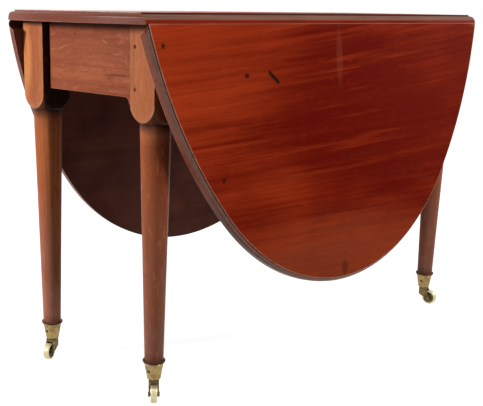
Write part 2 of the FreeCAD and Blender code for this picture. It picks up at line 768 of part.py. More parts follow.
def caster_axle(corner, axis):
    name = f"caster_axle_{corner}"
    half = s.fork_wide / 2
    at_x = s.fork_trail
    at_z = s.wheel_radius
    shank = rod("shank", s.axle_radius, s.fork_wide, (at_x, -half, at_z), Y_AXIS)
    heads = [
        rod("rivet", s.axle_head_radius, s.axle_head, (at_x, start, at_z), Y_AXIS)
        for start in (-half - s.axle_head, half)
    ]
    keep(name, joined(name, [shank, *heads]), axis)


def caster_wheel(corner, axis):
    """A wheel on its own axis, which is Y: rounded tread, dished sides and bored hub."""
    name = f"caster_wheel_{corner}"
    body = body_of(name)
    half = s.wheel_wide / 2
    web = half - s.wheel_dish
    bore = s.axle_radius + s.pin_play
    rim = s.wheel_radius - s.wheel_rim
    shoulder = s.wheel_radius - s.wheel_edge
    tread = half - s.wheel_edge
    profile = sketch_on(body, "XY_Plane")
    outline(profile, [
        (bore, -half), (s.wheel_hub_radius, -half), (s.wheel_hub_radius, -web), (rim, -web), (rim, -half),
        (shoulder, -half, shoulder, -tread, "left"), (s.wheel_radius, -tread),
        (s.wheel_radius, tread, shoulder, tread, "left"), (shoulder, half),
        (rim, half), (rim, web), (s.wheel_hub_radius, web), (s.wheel_hub_radius, half), (bore, half),
    ])
    turned(body, profile)
    keep(name, body, axis * moved(s.fork_trail, ZERO, s.wheel_radius))


def caster(corner, leg_axis):
    foot = leg_axis.multVec(FreeCAD.Vector())
    trail = getattr(s, f"swivel_{corner}").value
    axis = FreeCAD.Placement(foot, FreeCAD.Rotation(Z_AXIS, trail))
    caster_cup(corner, axis)
    caster_fork(corner, axis)
    caster_axle(corner, axis)
    caster_wheel(corner, axis)


top_board()
for side, half in HALVES.items():
    leaf(side, half)
    hinge_parts(side, half)
    end_rail(half)
    rail_pegs(half)
    inner_rail(side, half)
    fixed_rail(side, half)
    fly_rail(side, half)
    gate_pin(side, half)
    glue_blocks(side, half)
    fixed_axis = half.spin * moved(leg_half_x, -fixed_leg_y, ZERO)
    swing_axis = half.spin * gate_placement * moved(leg_half_x, swing_leg_y, ZERO)
    keep(f"leg_{half.fixed}", leg(f"leg_{half.fixed}", underside, 1, True), fixed_axis)
    keep(f"leg_{half.swing}", leg(f"leg_{half.swing}", underside - s.gate_drop, -1, False), swing_axis)
    caster(half.fixed, fixed_axis)
    caster(half.swing, swing_axis)
doc.recompute()

failed = [o.Name for o in doc.Objects if "Invalid" in o.State or "Error" in o.State]
failed += [name for name, piece in nodes.items() if piece.Shape.isNull() or not piece.Shape.isValid()]
if failed:
    raise RuntimeError("failed pieces: " + ", ".join(failed))
os.makedirs("parts", exist_ok=True)
for name, piece in nodes.items():
    piece.Shape.exportStep(f"parts/{name}.step")
print(f"{len(nodes)} pieces, gate ajar by {gate_ajar:.3f} degrees")
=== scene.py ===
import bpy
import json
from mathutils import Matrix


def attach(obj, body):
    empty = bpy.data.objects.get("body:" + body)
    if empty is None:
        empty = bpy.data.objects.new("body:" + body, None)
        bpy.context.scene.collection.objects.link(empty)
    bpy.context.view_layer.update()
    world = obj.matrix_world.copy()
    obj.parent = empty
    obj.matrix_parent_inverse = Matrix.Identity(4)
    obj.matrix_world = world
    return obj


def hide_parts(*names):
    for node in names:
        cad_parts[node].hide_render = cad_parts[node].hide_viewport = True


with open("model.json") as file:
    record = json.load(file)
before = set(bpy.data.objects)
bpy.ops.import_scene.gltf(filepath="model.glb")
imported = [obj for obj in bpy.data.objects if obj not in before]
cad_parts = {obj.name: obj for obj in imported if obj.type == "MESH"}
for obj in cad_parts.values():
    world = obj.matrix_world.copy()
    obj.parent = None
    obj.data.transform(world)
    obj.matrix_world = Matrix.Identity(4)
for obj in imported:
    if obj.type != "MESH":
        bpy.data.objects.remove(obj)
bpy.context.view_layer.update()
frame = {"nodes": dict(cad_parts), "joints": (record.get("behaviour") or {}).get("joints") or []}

import json
import math

import bmesh
import bpy
import numpy as np
from bpy.props import FloatProperty, FloatVectorProperty, PointerProperty
from mathutils import Matrix

bl_info = {
    "name": "Swing-leg drop-leaf table",
    "version": (1, 0, 0),
    "blender": (4, 5, 0),
    "location": "3D View > Sidebar > Table",
    "description": "Dresses the packed drop-leaf table: boards, turned legs, casters, fittings and stage",
    "category": "Object",
}

CORNERS = ("near_right", "far_left", "far_right", "near_left")
SWING = {"far_right": "gate_right", "near_left": "gate_left"}
# The leg whose turning takes the lighter colours: partly paler wood, partly painted light
PALER_LEG = "near_left"
SIDES = {"right": 1.0, "left": -1.0}
ENDS = {"near": 1.0, "far": -1.0}
UP = np.array([0.0, 0.0, 1.0])
DOWN = (0.0, 0.0, -1.0)

# Order of the finishes on a board
FACE, UNDER, EDGE, JOINT = range(4)

# Fixed sizes in metres
LIP = 0.0015  # flat of a board's face beside its rounded arris
FOOT_RADII, FOOT_DROPS = (0.0162, 0.0157, 0.0138, 0.0122), (0.012, 0.022)  # foot of a leg inside its cup
TURNING_TOP = 0.50  # height at which a leg's colours pass into the turning's
CUP_FOOT, CUP_RIM = (0.0133, 0.044), (0.0185, 0.0729)  # sloping wall of a cup: radius and height
CUP_SCREW_HEIGHT, CUP_SCREW_RADIUS, CUP_SCREW_TURN = 0.0595, 0.0034, 0.15 - math.pi / 2
DISH_RADIUS, DISH_BORDER = 0.0137, 0.0006  # hollow inside a wheel's rim, darkened by painted shade
RAIL_FACE = -0.4865  # Y of the near end rail's face
PEG_X, PEG_HEIGHTS, PEG_RADIUS = 0.1335, (0.661, 0.587), 0.0036
TOP_PLATE, LEAF_PLATE = 0.002, 0.0022  # depth of the hinge screws' heads under the boards
HINGE_PLACES = (-1, 0, 1)
# Screws of a hinge: distance from the pin and along it
TOP_SCREWS = ((0.013, -0.021), (0.013, 0.021), (0.029, 0.0))
LEAF_SCREWS = ((0.027, -0.020), (0.027, 0.020), (0.047, 0.0))

# The camera fitted to the photograph: picture, focal length and centre in pixels, eye in metres,
# angles in degrees, sensor in millimetres
PHOTO_WIDE, PHOTO_HIGH = 483.0, 406.0
FOCAL, CENTRE = 924.5, (180.4, 236.4)
EYE = (1.3818, -1.5499, 0.7297)
YAW, PITCH, ROLL = 46.642, 13.951, 0.821
SENSOR = 36.0

# Lamps: name, place, point that they face, diameter
LAMPS = (
    ("key", (-1.22, -2.74, 1.20), (0.0, -0.4, 0.42), 0.6),
    ("side", (2.40, 0.45, 1.75), (0.2, -0.1, 0.42), 0.8),
    ("overhead", (0.2, -0.4, 3.2), (0.0, 0.0, 0.4), 2.6),
    ("rim", (0.9, 3.0, 1.3), (0.1, 0.3, 0.4), 1.0),
    ("back", (-2.3, 1.3, 1.9), (-0.2, 0.0, 0.4), 1.0),
)


def on_rail(x, z):
    """A point of the near end rail's face."""
    return x, RAIL_FACE, z


# Broad zones of the right-hand leaf: centre, reach, scale of the offset, weight, colour
LEAF_CLOUDS = (
    ((0.210, -0.47, 0.67), 0.38, (0.2, 1.0, 1.9), 0.28, "orange"),
    ((0.232, 0.08, 0.50), 0.42, (0.2, 1.0, 2.1), 0.95, "red"),
    ((0.262, -0.10, 0.17), 0.32, (0.2, 0.5, 1.7), 0.75, "umber_red"),
    ((0.243, -0.25, 0.345), 0.18, (0.2, 1.0, 1.4), 0.14, "orange"),
    # A pale haze, partly a scratch and partly a painted sheen
    ((0.214, -0.012, 0.635), 0.075, (0.2, 5.5, 1.0), 0.15, "pink"),
    ((0.225, 0.44, 0.58), 0.46, (0.2, 1.0, 1.2), 0.55, "calm"),
)
# Dark marks: centre, reach, scale of the offset, weight
LEAF_MARKS = (
    ((0.2117, -0.4913, 0.6655), 0.0058, (0.2, 1.0, 1.0), 0.85),
    ((0.2177, -0.2890, 0.6084), 0.0068, (0.2, 0.8, 1.2), 0.95),
    ((0.2370, -0.3624, 0.4248), 0.0062, (0.2, 1.0, 1.0), 0.80),
    ((0.2361, 0.0066, 0.4342), 0.0058, (0.2, 1.0, 1.0), 0.55),
    ((0.2602, -0.0142, 0.2041), 0.0140, (0.2, 1.0, 0.8), 0.45),
    ((0.2100, 0.0586, 0.6822), 0.0040, (0.2, 1.0, 1.0), 0.60),
)
RAIL_MARKS = (
    (on_rail(0.0560, 0.6079), 0.0150, (0.5, 0.1, 8.0), 0.45),
    (on_rail(0.0900, 0.6090), 0.0180, (0.5, 0.1, 9.0), 0.55),
    (on_rail(-0.0383, 0.6794), 0.0040, (1.0, 0.1, 1.0), 0.45),
)
# Painted shadow under the top's overhang: heights from which and up to which it thickens, weight
LEG_SHADOW_UNDER_TOP = (0.686, 0.699, 0.80)
RAIL_SHADOW_UNDER_TOP = (0.684, 0.699, 0.85)
# Straight marks: start, stop, reach
LEAF_SCAR = ((0.2173, -0.2262, 0.6120), (0.2193, -0.2035, 0.5940), 0.0052)
RAIL_SCRATCHES = (
    (on_rail(0.0743, 0.6460), on_rail(0.1098, 0.6438), 0.0013),
    (on_rail(0.1098, 0.6438), on_rail(0.1100, 0.6287), 0.0013),
    (on_rail(0.0430, 0.6700), on_rail(0.0560, 0.6640), 0.0011),
    (on_rail(-0.0950, 0.6480), on_rail(-0.0640, 0.6560), 0.0011),
    (on_rail(-0.0200, 0.6120), on_rail(0.0180, 0.6175), 0.0010),
)


# Values that a user may change

def length(name, description, default):
    """A size in metres."""
    return FloatProperty(name=name, description=description, default=default, unit="LENGTH",
                         subtype="DISTANCE", precision=5)


def angle(name, description, degrees):
    """An angle, given in degrees."""
    return FloatProperty(name=name, description=description, default=math.radians(degrees), subtype="ANGLE")


def colour(name, description, default):
    """A colour in linear light."""
    return FloatVectorProperty(name=name, description=description, default=default, size=3, subtype="COLOR",
                               min=0.0, max=1.0)


def amount(name, description, default, unit="POWER"):
    """The power of a lamp or the strength of a light."""
    return FloatProperty(name=name, description=description, default=default, min=0.0, unit=unit)


class BoardSizes(bpy.types.PropertyGroup):
    """Sizes of the top and the leaves"""
    thick: length("Thickness", "Thickness of the top and the leaves", 0.020)
    step: length("Step", "Square step above the rounded edge", 0.003)
    edge_round: length("Edge rounding", "Radius of the rounded edge under the step", 0.0065)
    edge_quirk: length("Quirk", "Flat between the rounding and the step", 0.001)
    half_width: length("Half width", "Half of the open oval across the leaves", 0.715)
    half_length: length("Half length", "Half of the open oval along the hinges", 0.548)
    side_radius: length("Side radius", "Radius of the oval's side arcs", 0.45758)
    hinge_half: length("Hinge axis", "Centre of the table to a hinge axis", 0.188)
    hinge_pitch: length("Hinge pitch", "Distance between the leaf hinges", 0.3014)
    underside: length("Underside", "Floor to the underside of the top", 0.700)
    rule_gap: length("Rule joint play", "Play between the rounded edge and the cove", 0.0004)
    arris: length("Arris", "Worn rounding of the sharp edges", 0.0009)
    lean: angle("Lean", "Angle of a hanging leaf from the vertical", 6.0)


class LegSizes(bpy.types.PropertyGroup):
    """Sizes of the legs"""
    block: length("Block", "Side of the square block", 0.065)
    top: length("Top", "Floor to the top of a fixed leg", 0.700)
    drop: length("Drop", "Play above a swing leg", 0.0005)
    spring: length("Spring", "Floor to the spring of the arched faces", 0.563)
    neck: length("Neck", "Radius of the turning under the block", 0.0285)
    ankle: length("Ankle", "Radius of the turning above the ring", 0.0182)
    ring: length("Ring", "Radius of the turned ring", 0.022)
    ring_top: length("Ring top", "Floor to the top of the ring", 0.081)
    ring_foot: length("Ring foot", "Floor to the underside of the ring", 0.0757)
    ring_base: length("Ring base", "Floor to the neck of the foot inside the cup", 0.073)
    ajar: angle("Ajar", "Angle at which the gates stand open", 0.4612)


class Finishes(bpy.types.PropertyGroup):
    """Colours of the woods and metals"""
    orange: colour("Leaf orange", "Lighter streaks of the polished leaves and top", (0.52, 0.057, 0.012))
    red: colour("Leaf red", "Deep red of the polished leaves and top", (0.112, 0.0034, 0.0011))
    calm: colour("Leaf calm red", "Even red of the quieter end of the leaves", (0.12832, 0.005544, 0.001536))
    joint_red: colour("Joint red", "Red low on the top's rounded joint", (0.1936, 0.01412, 0.00328))
    umber_red: colour("Leaf brown", "Browner wood along the lower part of the leaves", (0.25, 0.045, 0.016))
    dark: colour("Grain", "Dark lines of the grain", (0.050, 0.008, 0.004))
    # Also tints a pale haze on the leaf, partly a scratch and partly a painted sheen
    pink: colour("Rail brown", "Faded brown of the end rails and of a hazy mark", (0.345, 0.098, 0.043))
    rust: colour("Rail rust", "Redder streaks of the end rails", (0.200, 0.045, 0.019))
    amber: colour("Block amber", "Amber streak down the swing legs' blocks", (0.70, 0.270, 0.080))
    sienna: colour("Block sienna", "Brown of the legs' blocks", (0.43, 0.140, 0.055))
    umber: colour("Block umber", "Redder streaks of the legs' blocks", (0.270, 0.072, 0.028))
    tan: colour("Leg tan", "Lighter streaks of the gates and of most legs' turning", (0.330, 0.090, 0.033))
    brown: colour("Leg brown", "Darker streaks of the gates and of most legs' turning", (0.150, 0.026, 0.008))
    # Partly browner wood and partly a painted sheen that greys the lower legs
    toe: colour("Leg toe", "Browner wood towards the casters", (0.212, 0.092, 0.066))
    # A lighter copy of the leg colours for one leg: partly paler wood, partly painted light; its toe is partly
    # a painted sheen
    honey: colour("Leg honey", "Lighter streaks of the paler leg's turning", (0.68, 0.222, 0.078))
    chestnut: colour("Leg chestnut", "Darker streaks of the paler leg's turning", (0.295, 0.066, 0.020))
    pale_toe: colour("Pale toe", "Browner wood towards the caster of the paler leg", (0.350, 0.150, 0.104))
    edge: colour("Edge", "Grey brown of the handled edges", (0.215, 0.100, 0.070))
    rim: colour("Edge rounding", "Red brown of the rounded edges", (0.165, 0.042, 0.024))
    # Painted shadow of the step along the top of the joint's round
    step_shadow: colour("Quirk", "Dirt along the step above the top's joint", (0.060, 0.022, 0.012))
    bare: colour("Bare", "Unpolished undersides", (0.038, 0.014, 0.0085))
    oak: colour("Inner wood", "Rails and blocks inside the frame", (0.20, 0.105, 0.048))
    brass: colour("Brass", "Aged brass of the cups", (0.385, 0.265, 0.100))
    pale_brass: colour("Bright brass", "Brass of the wheels, rubbed bright", (0.62, 0.54, 0.32))
    tarnish: colour("Tarnish", "Tarnish in the hollows of the brass", (0.075, 0.045, 0.018))
    iron: colour("Iron", "Blackened iron of the hinges and pins", (0.030, 0.027, 0.025))
    iron_rust: colour("Iron rust", "Rusty patches of the iron", (0.105, 0.040, 0.016))
    worn: colour("Worn edge", "Paler wood along the worn edges", (0.55, 0.29, 0.19))
    rubbed: colour("Rubbed arris", "Orange wood along the leaves' rubbed edges", (0.50, 0.14, 0.055))
    # Near black of dark marks, and of painted shade under the top, in the legs' recesses and on their hidden
    # faces, and in the wheels' hollows
    grime: colour("Grime", "Old dirt in the corners and on hidden faces", (0.012, 0.006, 0.004))


class StageValues(bpy.types.PropertyGroup):
    """The floor and the lights"""
    floor: colour("Floor", "Pale floor", (0.34, 0.34, 0.34))
    key: amount("Key light", "Power of the light in front of the near end", 83.0)
    side: amount("Side light", "Power of the light beside the near leaf", 50.0)
    overhead: amount("Overhead light", "Power of the wide light overhead", 26.0)
    rim: amount("Rim light", "Power of the weak light behind", 16.0)
    back: amount("Back light", "Power of the light beside the far leaf", 30.0)
    sky: amount("Ambient", "Strength of the even light", 0.06, "NONE")


def settings():
    """The sizes of the boards, the sizes of the legs and the finishes."""
    scene = bpy.context.scene
    return scene.table_boards, scene.table_legs, scene.table_finishes


# Meshes

def grid_faces(index, closed):
    """Four-sided faces between neighbouring points of a numbered grid whose columns run round and meet.

    Closed rows meet as well."""
    right = np.roll(index, -1, axis=1)
    quads = np.stack([index, right, np.roll(right, -1, axis=0), np.roll(index, -1, axis=0)], axis=-1)
    return (quads if closed else quads[:-1]).reshape(-1, 4)


def new_mesh(name, points, faces, materials):
    """A mesh from an array of points, its faces and its finishes."""
    mesh = bpy.data.meshes.new(name)
    mesh.from_pydata(points.reshape(-1, 3).tolist(), [], faces)
    for material in materials:
        mesh.materials.append(material)
    return mesh


def settle(name, mesh, body, sharp):
    """Closes doubled points, turns faces outwards, smooths the shading and makes the piece ride on a body."""
    tidy = bmesh.new()
    tidy.from_mesh(mesh)
    bmesh.ops.remove_doubles(tidy, verts=tidy.verts, dist=1e-7)
    bmesh.ops.recalc_face_normals(tidy, faces=tidy.faces)
    tidy.to_mesh(mesh)
    tidy.free()
    mesh.shade_smooth()
    mesh.set_sharp_from_angle(angle=math.radians(sharp))
    piece = bpy.data.objects.new(name, mesh)
    bpy.context.scene.collection.objects.link(piece)
    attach(piece, body)
    return piece


def add_piece(name, grid, body, slot, materials, caps=True, sharp=35.0, slots=None, **attributes):
    """A surface from a grid of points (rows, columns, xyz) whose columns run round and meet.

    With caps the first and last rows are closed by flat faces, and without them the rows meet as well.
    Edges bent by more than the sharp angle, in degrees, stay crisp. Slots give the finish of each face
    between two rows, and attributes a number for each point."""
    rows, columns = grid.shape[:2]
    index = np.arange(rows * columns).reshape(rows, columns)
    faces = grid_faces(index, not caps).tolist()
    if caps:
        faces += [index[0, ::-1].tolist(), index[-1].tolist()]
    mesh = new_mesh(name, grid, faces, materials)
    if slots is not None:
        ends = [slots[0, 0], slots[-1, 0]] if caps else []
        mesh.polygons.foreach_set("material_index", np.concatenate([slots.ravel(), ends]).astype(np.int32))
    for attribute, values in attributes.items():
        layer = mesh.attributes.new(attribute, "FLOAT", "POINT")
        values = np.broadcast_to(values, (rows, columns))
        layer.data.foreach_set("value", np.ascontiguousarray(values, np.float32).ravel())
    return settle(name, mesh, body, sharp)


def add_discs(name, grids, body, material):
    """Like discs in one mesh: a grid's first row is its pole and its last row its foot, closed flat."""
    count, rows, columns = grids.shape[:3]
    index = np.arange(rows * columns).reshape(rows, columns)
    offset = (np.arange(count) * rows * columns)[:, None, None]
    faces = (grid_faces(index, False) + offset).reshape(-1, 4).tolist()
    faces += (index[-1] + offset[:, 0]).tolist()
    return settle(name, new_mesh(name, grids, faces, [material]), body, 40.0)


# Shapes

def turn_z(points, turn):
    """Points turned about the vertical through the origin."""
    c, s = math.cos(turn), math.sin(turn)
    x, y, z = points[..., 0], points[..., 1], points[..., 2]
    return np.stack([x * c - y * s, x * s + y * c, z], axis=-1)


def half_turn(sign):
    """No turn for the right-hand or near piece, and half a turn for the one opposite."""
    return 0.0 if sign > 0 else math.pi


def board_levels(b, cove):
    """Levels of a moulded board as height, inset of the outline, reach of the joint and wear.

    The outline is upright, then a quarter round, a small flat and the square step. The joint is a quarter
    circle about the hinge axis: hollow for a leaf (cove) and solid for the top. Both are trimmed by a small
    quarter round at the sharp edges, and by a narrow lip of the flat faces beside it."""
    a = b.arris
    rule = b.thick - b.step
    foot = rule - b.edge_round
    radius = rule + b.rule_gap if cove else rule
    turn = np.linspace(0.0, np.pi / 2, 6)
    low_z = a * (1.0 - np.cos(turn))
    joint_z = radius * np.sin(np.linspace(0.0, np.pi / 2, 26))
    round_z = foot + b.edge_round * np.sin(np.linspace(0.0, np.pi / 2, 16))
    mid_z = np.concatenate([joint_z, round_z])
    mid_z = np.unique(np.round(mid_z[(mid_z > a * 1.2) & (mid_z < rule - 2e-5)], 7))
    high_z = np.linspace(rule, b.thick - a, 9)
    top_z = b.thick - a + a * np.sin(turn[1:])
    z = np.concatenate([[0.0], low_z, mid_z, [rule], high_z, top_z, [b.thick]])
    low, high = slice(1, 1 + len(low_z)), slice(-1 - len(top_z), -1)
    trim = np.zeros_like(z)
    trim[[0, -1]] = a + LIP
    trim[low] = a * (1.0 - np.sin(turn))
    trim[high] = a * (1.0 - np.cos(turn[1:]))
    rise = np.clip((z - foot) / b.edge_round, 0.0, 1.0)
    outline = b.edge_round * (1.0 - np.sqrt(1.0 - rise ** 2))
    outline[2 + len(low_z) + len(mid_z):] = b.edge_round + b.edge_quirk
    circle = np.sqrt(np.maximum(radius ** 2 - z ** 2, 0.0))
    reach = np.maximum(circle, b.rule_gap) + trim if cove else circle - trim
    wear = np.zeros_like(z)
    wear[low] = 0.8
    wear[high.start - 1] = 0.6
    wear[high] = 1.0
    return z, outline + trim, reach, wear


def board_slots(rows):
    """The first strip is the underside, the last one the face, and those between are the edge."""
    slots = np.full((rows.shape[0] - 1, rows.shape[1]), EDGE)
    slots[0] = UNDER
    slots[-1] = FACE
    return slots


def oval_centres(b):
    """Centres and radii of the four arcs: the side arcs sit on the X axis and the end arcs on the Y axis."""
    side = b.half_width - b.side_radius
    spare = b.half_length - b.side_radius
    end_radius = (side ** 2 + b.half_length ** 2 - b.side_radius ** 2) / (2.0 * spare)
    return side, end_radius, end_radius - b.half_length


def leaf_rows(b):
    """Level curves of a leaf, laid flat with the hinge axis at the origin.

    Each level is the oval moved in by its inset, from the joint line round to the joint line, and the
    straight joint line back; a point on an arc is its centre plus the radius turned by the angle."""
    face_strips, joint_wear, end_wear = 7, 0.06, 0.85
    z, inset, reach, wear = board_levels(b, True)
    side, end_radius, end_centre = oval_centres(b)
    joint = (b.hinge_half + reach)[:, None]
    big = (end_radius - inset)[:, None]
    small = (b.side_radius - inset)[:, None]
    meet = math.atan2(side, end_centre)
    u = np.linspace(0.0, 1.0, 64)
    v = np.linspace(0.0, 1.0, 130)[1:-1]
    end = np.arcsin(joint / big) * (1.0 - u) + meet * u
    end_x, end_y = big * np.sin(end), big * np.cos(end) - end_centre
    sweep = meet + (math.pi - 2.0 * meet) * v
    side_x, side_y = side + small * np.sin(sweep), small * np.cos(sweep)
    line = np.linspace(1.0, -1.0, 26)[1:-1]
    chord_y = end_y[:, :1] * line
    chord_x = np.broadcast_to(joint, chord_y.shape)
    x = np.concatenate([end_x, side_x, end_x[:, ::-1], chord_x], axis=1)
    y = np.concatenate([end_y, side_y, -end_y[:, ::-1], -chord_y], axis=1)
    rows = np.stack([x - b.hinge_half, y, np.broadcast_to(z[:, None], x.shape)], axis=-1)[:, ::-1]
    chord = len(line)
    slots = board_slots(rows)
    slots[:-face_strips, :chord + 1] = JOINT
    slots[:-face_strips, -1] = JOINT
    rubbed = np.repeat(wear[:, None], rows.shape[1], axis=1)
    rubbed[:, :chord] *= joint_wear
    rubbed[:, [chord, -1]] = end_wear
    return rows, slots, {"wear": rubbed, "rise": (z / b.thick)[:, None]}


def top_rows(b):
    """Level curves of the top: two straight joint lines and the two end arcs between them.

    A point on an end arc is its centre on the Y axis plus the radius turned by the angle."""
    end_wear = 0.35
    z, inset, reach, wear = board_levels(b, False)
    _, end_radius, end_centre = oval_centres(b)
    joint = (b.hinge_half + reach)[:, None]
    big = (end_radius - inset)[:, None]
    turn = np.arcsin(joint / big) * np.linspace(1.0, -1.0, 110)
    arc_x, arc_y = big * np.sin(turn), big * np.cos(turn) - end_centre
    line = np.linspace(-1.0, 1.0, 30)[1:-1]
    right_y = arc_y[:, :1] * line
    right_x = np.broadcast_to(joint, right_y.shape)
    x = np.concatenate([right_x, arc_x, -right_x, -arc_x], axis=1)
    y = np.concatenate([right_y, arc_y, -right_y, -arc_y], axis=1)
    rows = np.stack([x, y, np.broadcast_to((z + b.underside)[:, None], x.shape)], axis=-1)
    slots = board_slots(rows)
    place = (np.arange(x.shape[1]) + 1) % (x.shape[1] // 2)
    slots[1:-1, place <= len(line)] = JOINT
    rubbed = np.where(place <= len(line) + 1, 0.0, end_wear) * wear[:, None]
    return rows, slots, {"wear": rubbed, "rise": (z / b.thick)[:, None]}


def hang(points, b, sign):
    """A leaf laid flat is turned down about the hinge axis, and the left one is turned about the vertical."""
    turn = math.pi / 2 - b.lean
    c, s = math.cos(turn), math.sin(turn)
    x, y, z = points[..., 0], points[..., 1], points[..., 2]
    hung = np.stack([x * c + z * s + b.hinge_half, y, z * c - x * s + b.underside], axis=-1)
    return turn_z(hung, half_turn(sign))


def leg_rows(g, top):
    """A leg on its own axis as radius over angle and height.

    Above the arches the radius is a square with slightly rounded corners; each column then leaves the square
    where the ball that rounds the block's foot cuts it, and runs down the ball, the straight taper, the
    ring's arc and the foot in the cup. Columns crowd at the corners. Painted shade lies on the block's inner
    face, less on its outer one, and under the block, and darkens the line above the ring, the ring and the
    foot in the cup; wear lies on the corners and along the crease of the arches."""
    half = g.block / 2
    columns, crowding, sharpness = 26, 2.3, 64.0
    fan = math.pi / 4 * (1.0 - (1.0 - np.arange(columns) / columns) ** crowding)
    quarter = np.concatenate([fan, [math.pi / 4], (math.pi / 2 - fan[1:])[::-1]])
    theta = np.concatenate([quarter + k * math.pi / 2 for k in range(4)])
    norm = (np.abs(np.cos(theta)) ** sharpness + np.abs(np.sin(theta)) ** sharpness) ** (1.0 / sharpness)
    square = half / norm
    ball = half * math.sqrt(2.0)
    crease = g.spring - np.sqrt(np.maximum(ball ** 2 - square ** 2, 0.0))
    foot = g.spring - math.sqrt(ball ** 2 - g.neck ** 2)
    off_inner = np.abs(theta - math.pi)
    border = math.radians(1.2)
    inner = 1.0 - np.clip((off_inner - math.radians(43.6)) / border, 0.0, 1.0)
    outer = np.clip((off_inner - math.radians(135.2)) / border, 0.0, 1.0)
    corner = np.clip((square - half * 1.37) / (half * 0.02), 0.0, 1.0)
    levels = []

    def level(height, radius, wear=0.0, grime=0.0):
        levels.append([np.broadcast_to(value, theta.shape) for value in (height, radius, wear, grime)])

    # Painted shade: the last numbers below darken the block's inner and outer faces, the ball under the block,
    # the line above the ring, the ring and the foot in its cup
    for share in np.linspace(0.0, 1.0, 14):
        level(top + (crease - top) * share, square,
              np.maximum(corner * 0.7, 0.55 if share == 1.0 else 0.0), np.maximum(inner * 0.95, outer * 0.40))
    for share in np.linspace(0.0, 1.0, 15)[1:]:
        height = crease + (foot - crease) * share
        level(height, np.sqrt(ball ** 2 - (g.spring - height) ** 2),
              grime=np.maximum(0.72 + 0.22 * share ** 3, inner * 0.97))
    for share in np.linspace(0.0, 1.0, 25)[1:]:
        level(foot + (g.ring_top - foot) * share, g.neck + (g.ankle - g.neck) * share,
              grime=0.45 if share == 1.0 else 0.0)
    bulge = g.ring - g.ankle
    tall = (g.ring_top - g.ring_foot) / 2
    bead = (bulge ** 2 + tall ** 2) / (2.0 * bulge)
    reach = math.asin(min(tall / bead, 1.0))
    for turn in np.linspace(reach, -reach, 15):
        level(g.ring_foot + tall + bead * math.sin(turn), g.ring - bead + bead * math.cos(turn), grime=0.72)
    heights = (g.ring_foot, g.ring_base, *(g.ring_base - drop for drop in FOOT_DROPS))
    for height, radius in zip(heights, FOOT_RADII):
        level(height, radius, grime=0.8)
    z, r, wear, grime = np.array(levels)[::-1].transpose(1, 0, 2)
    return np.stack([r * np.cos(theta), r * np.sin(theta), z], axis=-1), {"wear": wear, "grime": grime}


def round_angles(count):
    """Even angles round a circle."""
    return np.arange(count) * 2.0 * math.pi / count


def lathe(profile, columns=96):
    """A closed profile of (radius, height) carried round the vertical axis."""
    theta = round_angles(columns)
    r, z = profile[:, :1], profile[:, 1:]
    return np.stack([r * np.cos(theta), r * np.sin(theta), np.broadcast_to(z, (len(r), columns))], axis=-1)


def arc(centre_r, centre_z, radius, start, stop, count):
    """Points of a circle in a profile, from one angle to another in degrees."""
    t = np.radians(np.linspace(start, stop, count))
    return np.stack([centre_r + radius * np.cos(t), centre_z + radius * np.sin(t)], axis=-1)


def cup_profile():
    """Outer wall from the bored floor over a rounded base to the rim bead, and the inner wall back down."""
    bore, floor, base = 0.00405, 0.041, 0.044
    return np.concatenate([
        [[bore, floor], [0.0085, floor]], arc(0.0103, base, 0.003, -90, 0, 8),
        np.linspace(CUP_FOOT, CUP_RIM, 10)[1:-1],
        [[0.01815, 0.0723]], arc(0.0184, 0.0742, 0.0014, -90, 90, 13),
        [[0.0165, 0.0756], [0.0113, base], [bore, base]],
    ])


def wheel_profile():
    """Rounded tread, rim, dished web and hub on both sides, about the axle."""
    bore = 0.00305
    one = np.concatenate([
        [[bore, -0.0058]], arc(0.0061, -0.0056, 0.0004, -90, 0, 4), [[0.0066, -0.0039]],
        arc(0.0078, -0.0041, 0.0007, 180, 90, 4), arc(0.0122, -0.0041, 0.0007, 90, 0, 4),
        arc(0.0134, -0.0055, 0.0005, 180, 270, 4), arc(0.0154, -0.0044, 0.0016, -90, 0, 8),
    ])
    return np.concatenate([one, one[::-1] * [1.0, -1.0]])


def fork_web():
    """The web behind a wheel: a rounded oblong carried round the wheel's axis, from the crown down the back.

    Columns give the section as a superellipse in radius and width; rows give the angle round the axle."""
    half_wide, half_deep, bend_radius = 0.0068, 0.0020, 0.0205
    t = round_angles(40)
    c, s = np.cos(t), np.sin(t)
    across = half_wide * np.sign(c) * np.abs(c) ** 0.25
    deep = half_deep * np.sign(s) * np.abs(s) ** 0.5
    turn = np.radians(np.linspace(116.0, 176.0, 16))[:, None]
    swell = np.array([0.55, 0.9] + [1.0] * 12 + [0.9, 0.55])[:, None]
    radius = bend_radius + deep * swell
    across = np.broadcast_to(across, radius.shape)
    return np.stack([radius * np.cos(turn), across, radius * np.sin(turn)], axis=-1)


def screw_heads(places, normal, spin, radius=0.0042):
    """Countersunk screw heads: a disc of rings whose height falls in a straight slot and at the rim.

    Spin gives the turn of each head's slot."""
    slot_share, crown, land, slot_floor, foot = 0.13, 0.00035, 0.0001, -0.0001, -0.0006
    r = (np.array([0.0, 0.25, 0.5, 0.72, 0.86, 0.95, 1.0, 1.0]) * radius)[:, None]
    theta = round_angles(48)
    x, y = r * np.cos(theta), r * np.sin(theta)
    height = np.where(np.abs(y) < radius * slot_share, slot_floor, crown * (1.0 - (r / radius) ** 4) + land)
    height[-1] = foot
    normal = np.asarray(normal, float)
    seed = np.array([0.0, 1.0, 0.0]) if abs(normal[1]) < 0.9 else np.array([1.0, 0.0, 0.0])
    first = np.cross(seed, normal)
    first /= np.linalg.norm(first)
    second = np.cross(normal, first)
    grids = []
    for place, turn in zip(places, spin):
        c, s = math.cos(turn), math.sin(turn)
        u, v = x * c - y * s, x * s + y * c
        flat = u[..., None] * first + v[..., None] * second
        grids.append(np.asarray(place) + flat + height[..., None] * normal)
    return np.array(grids)


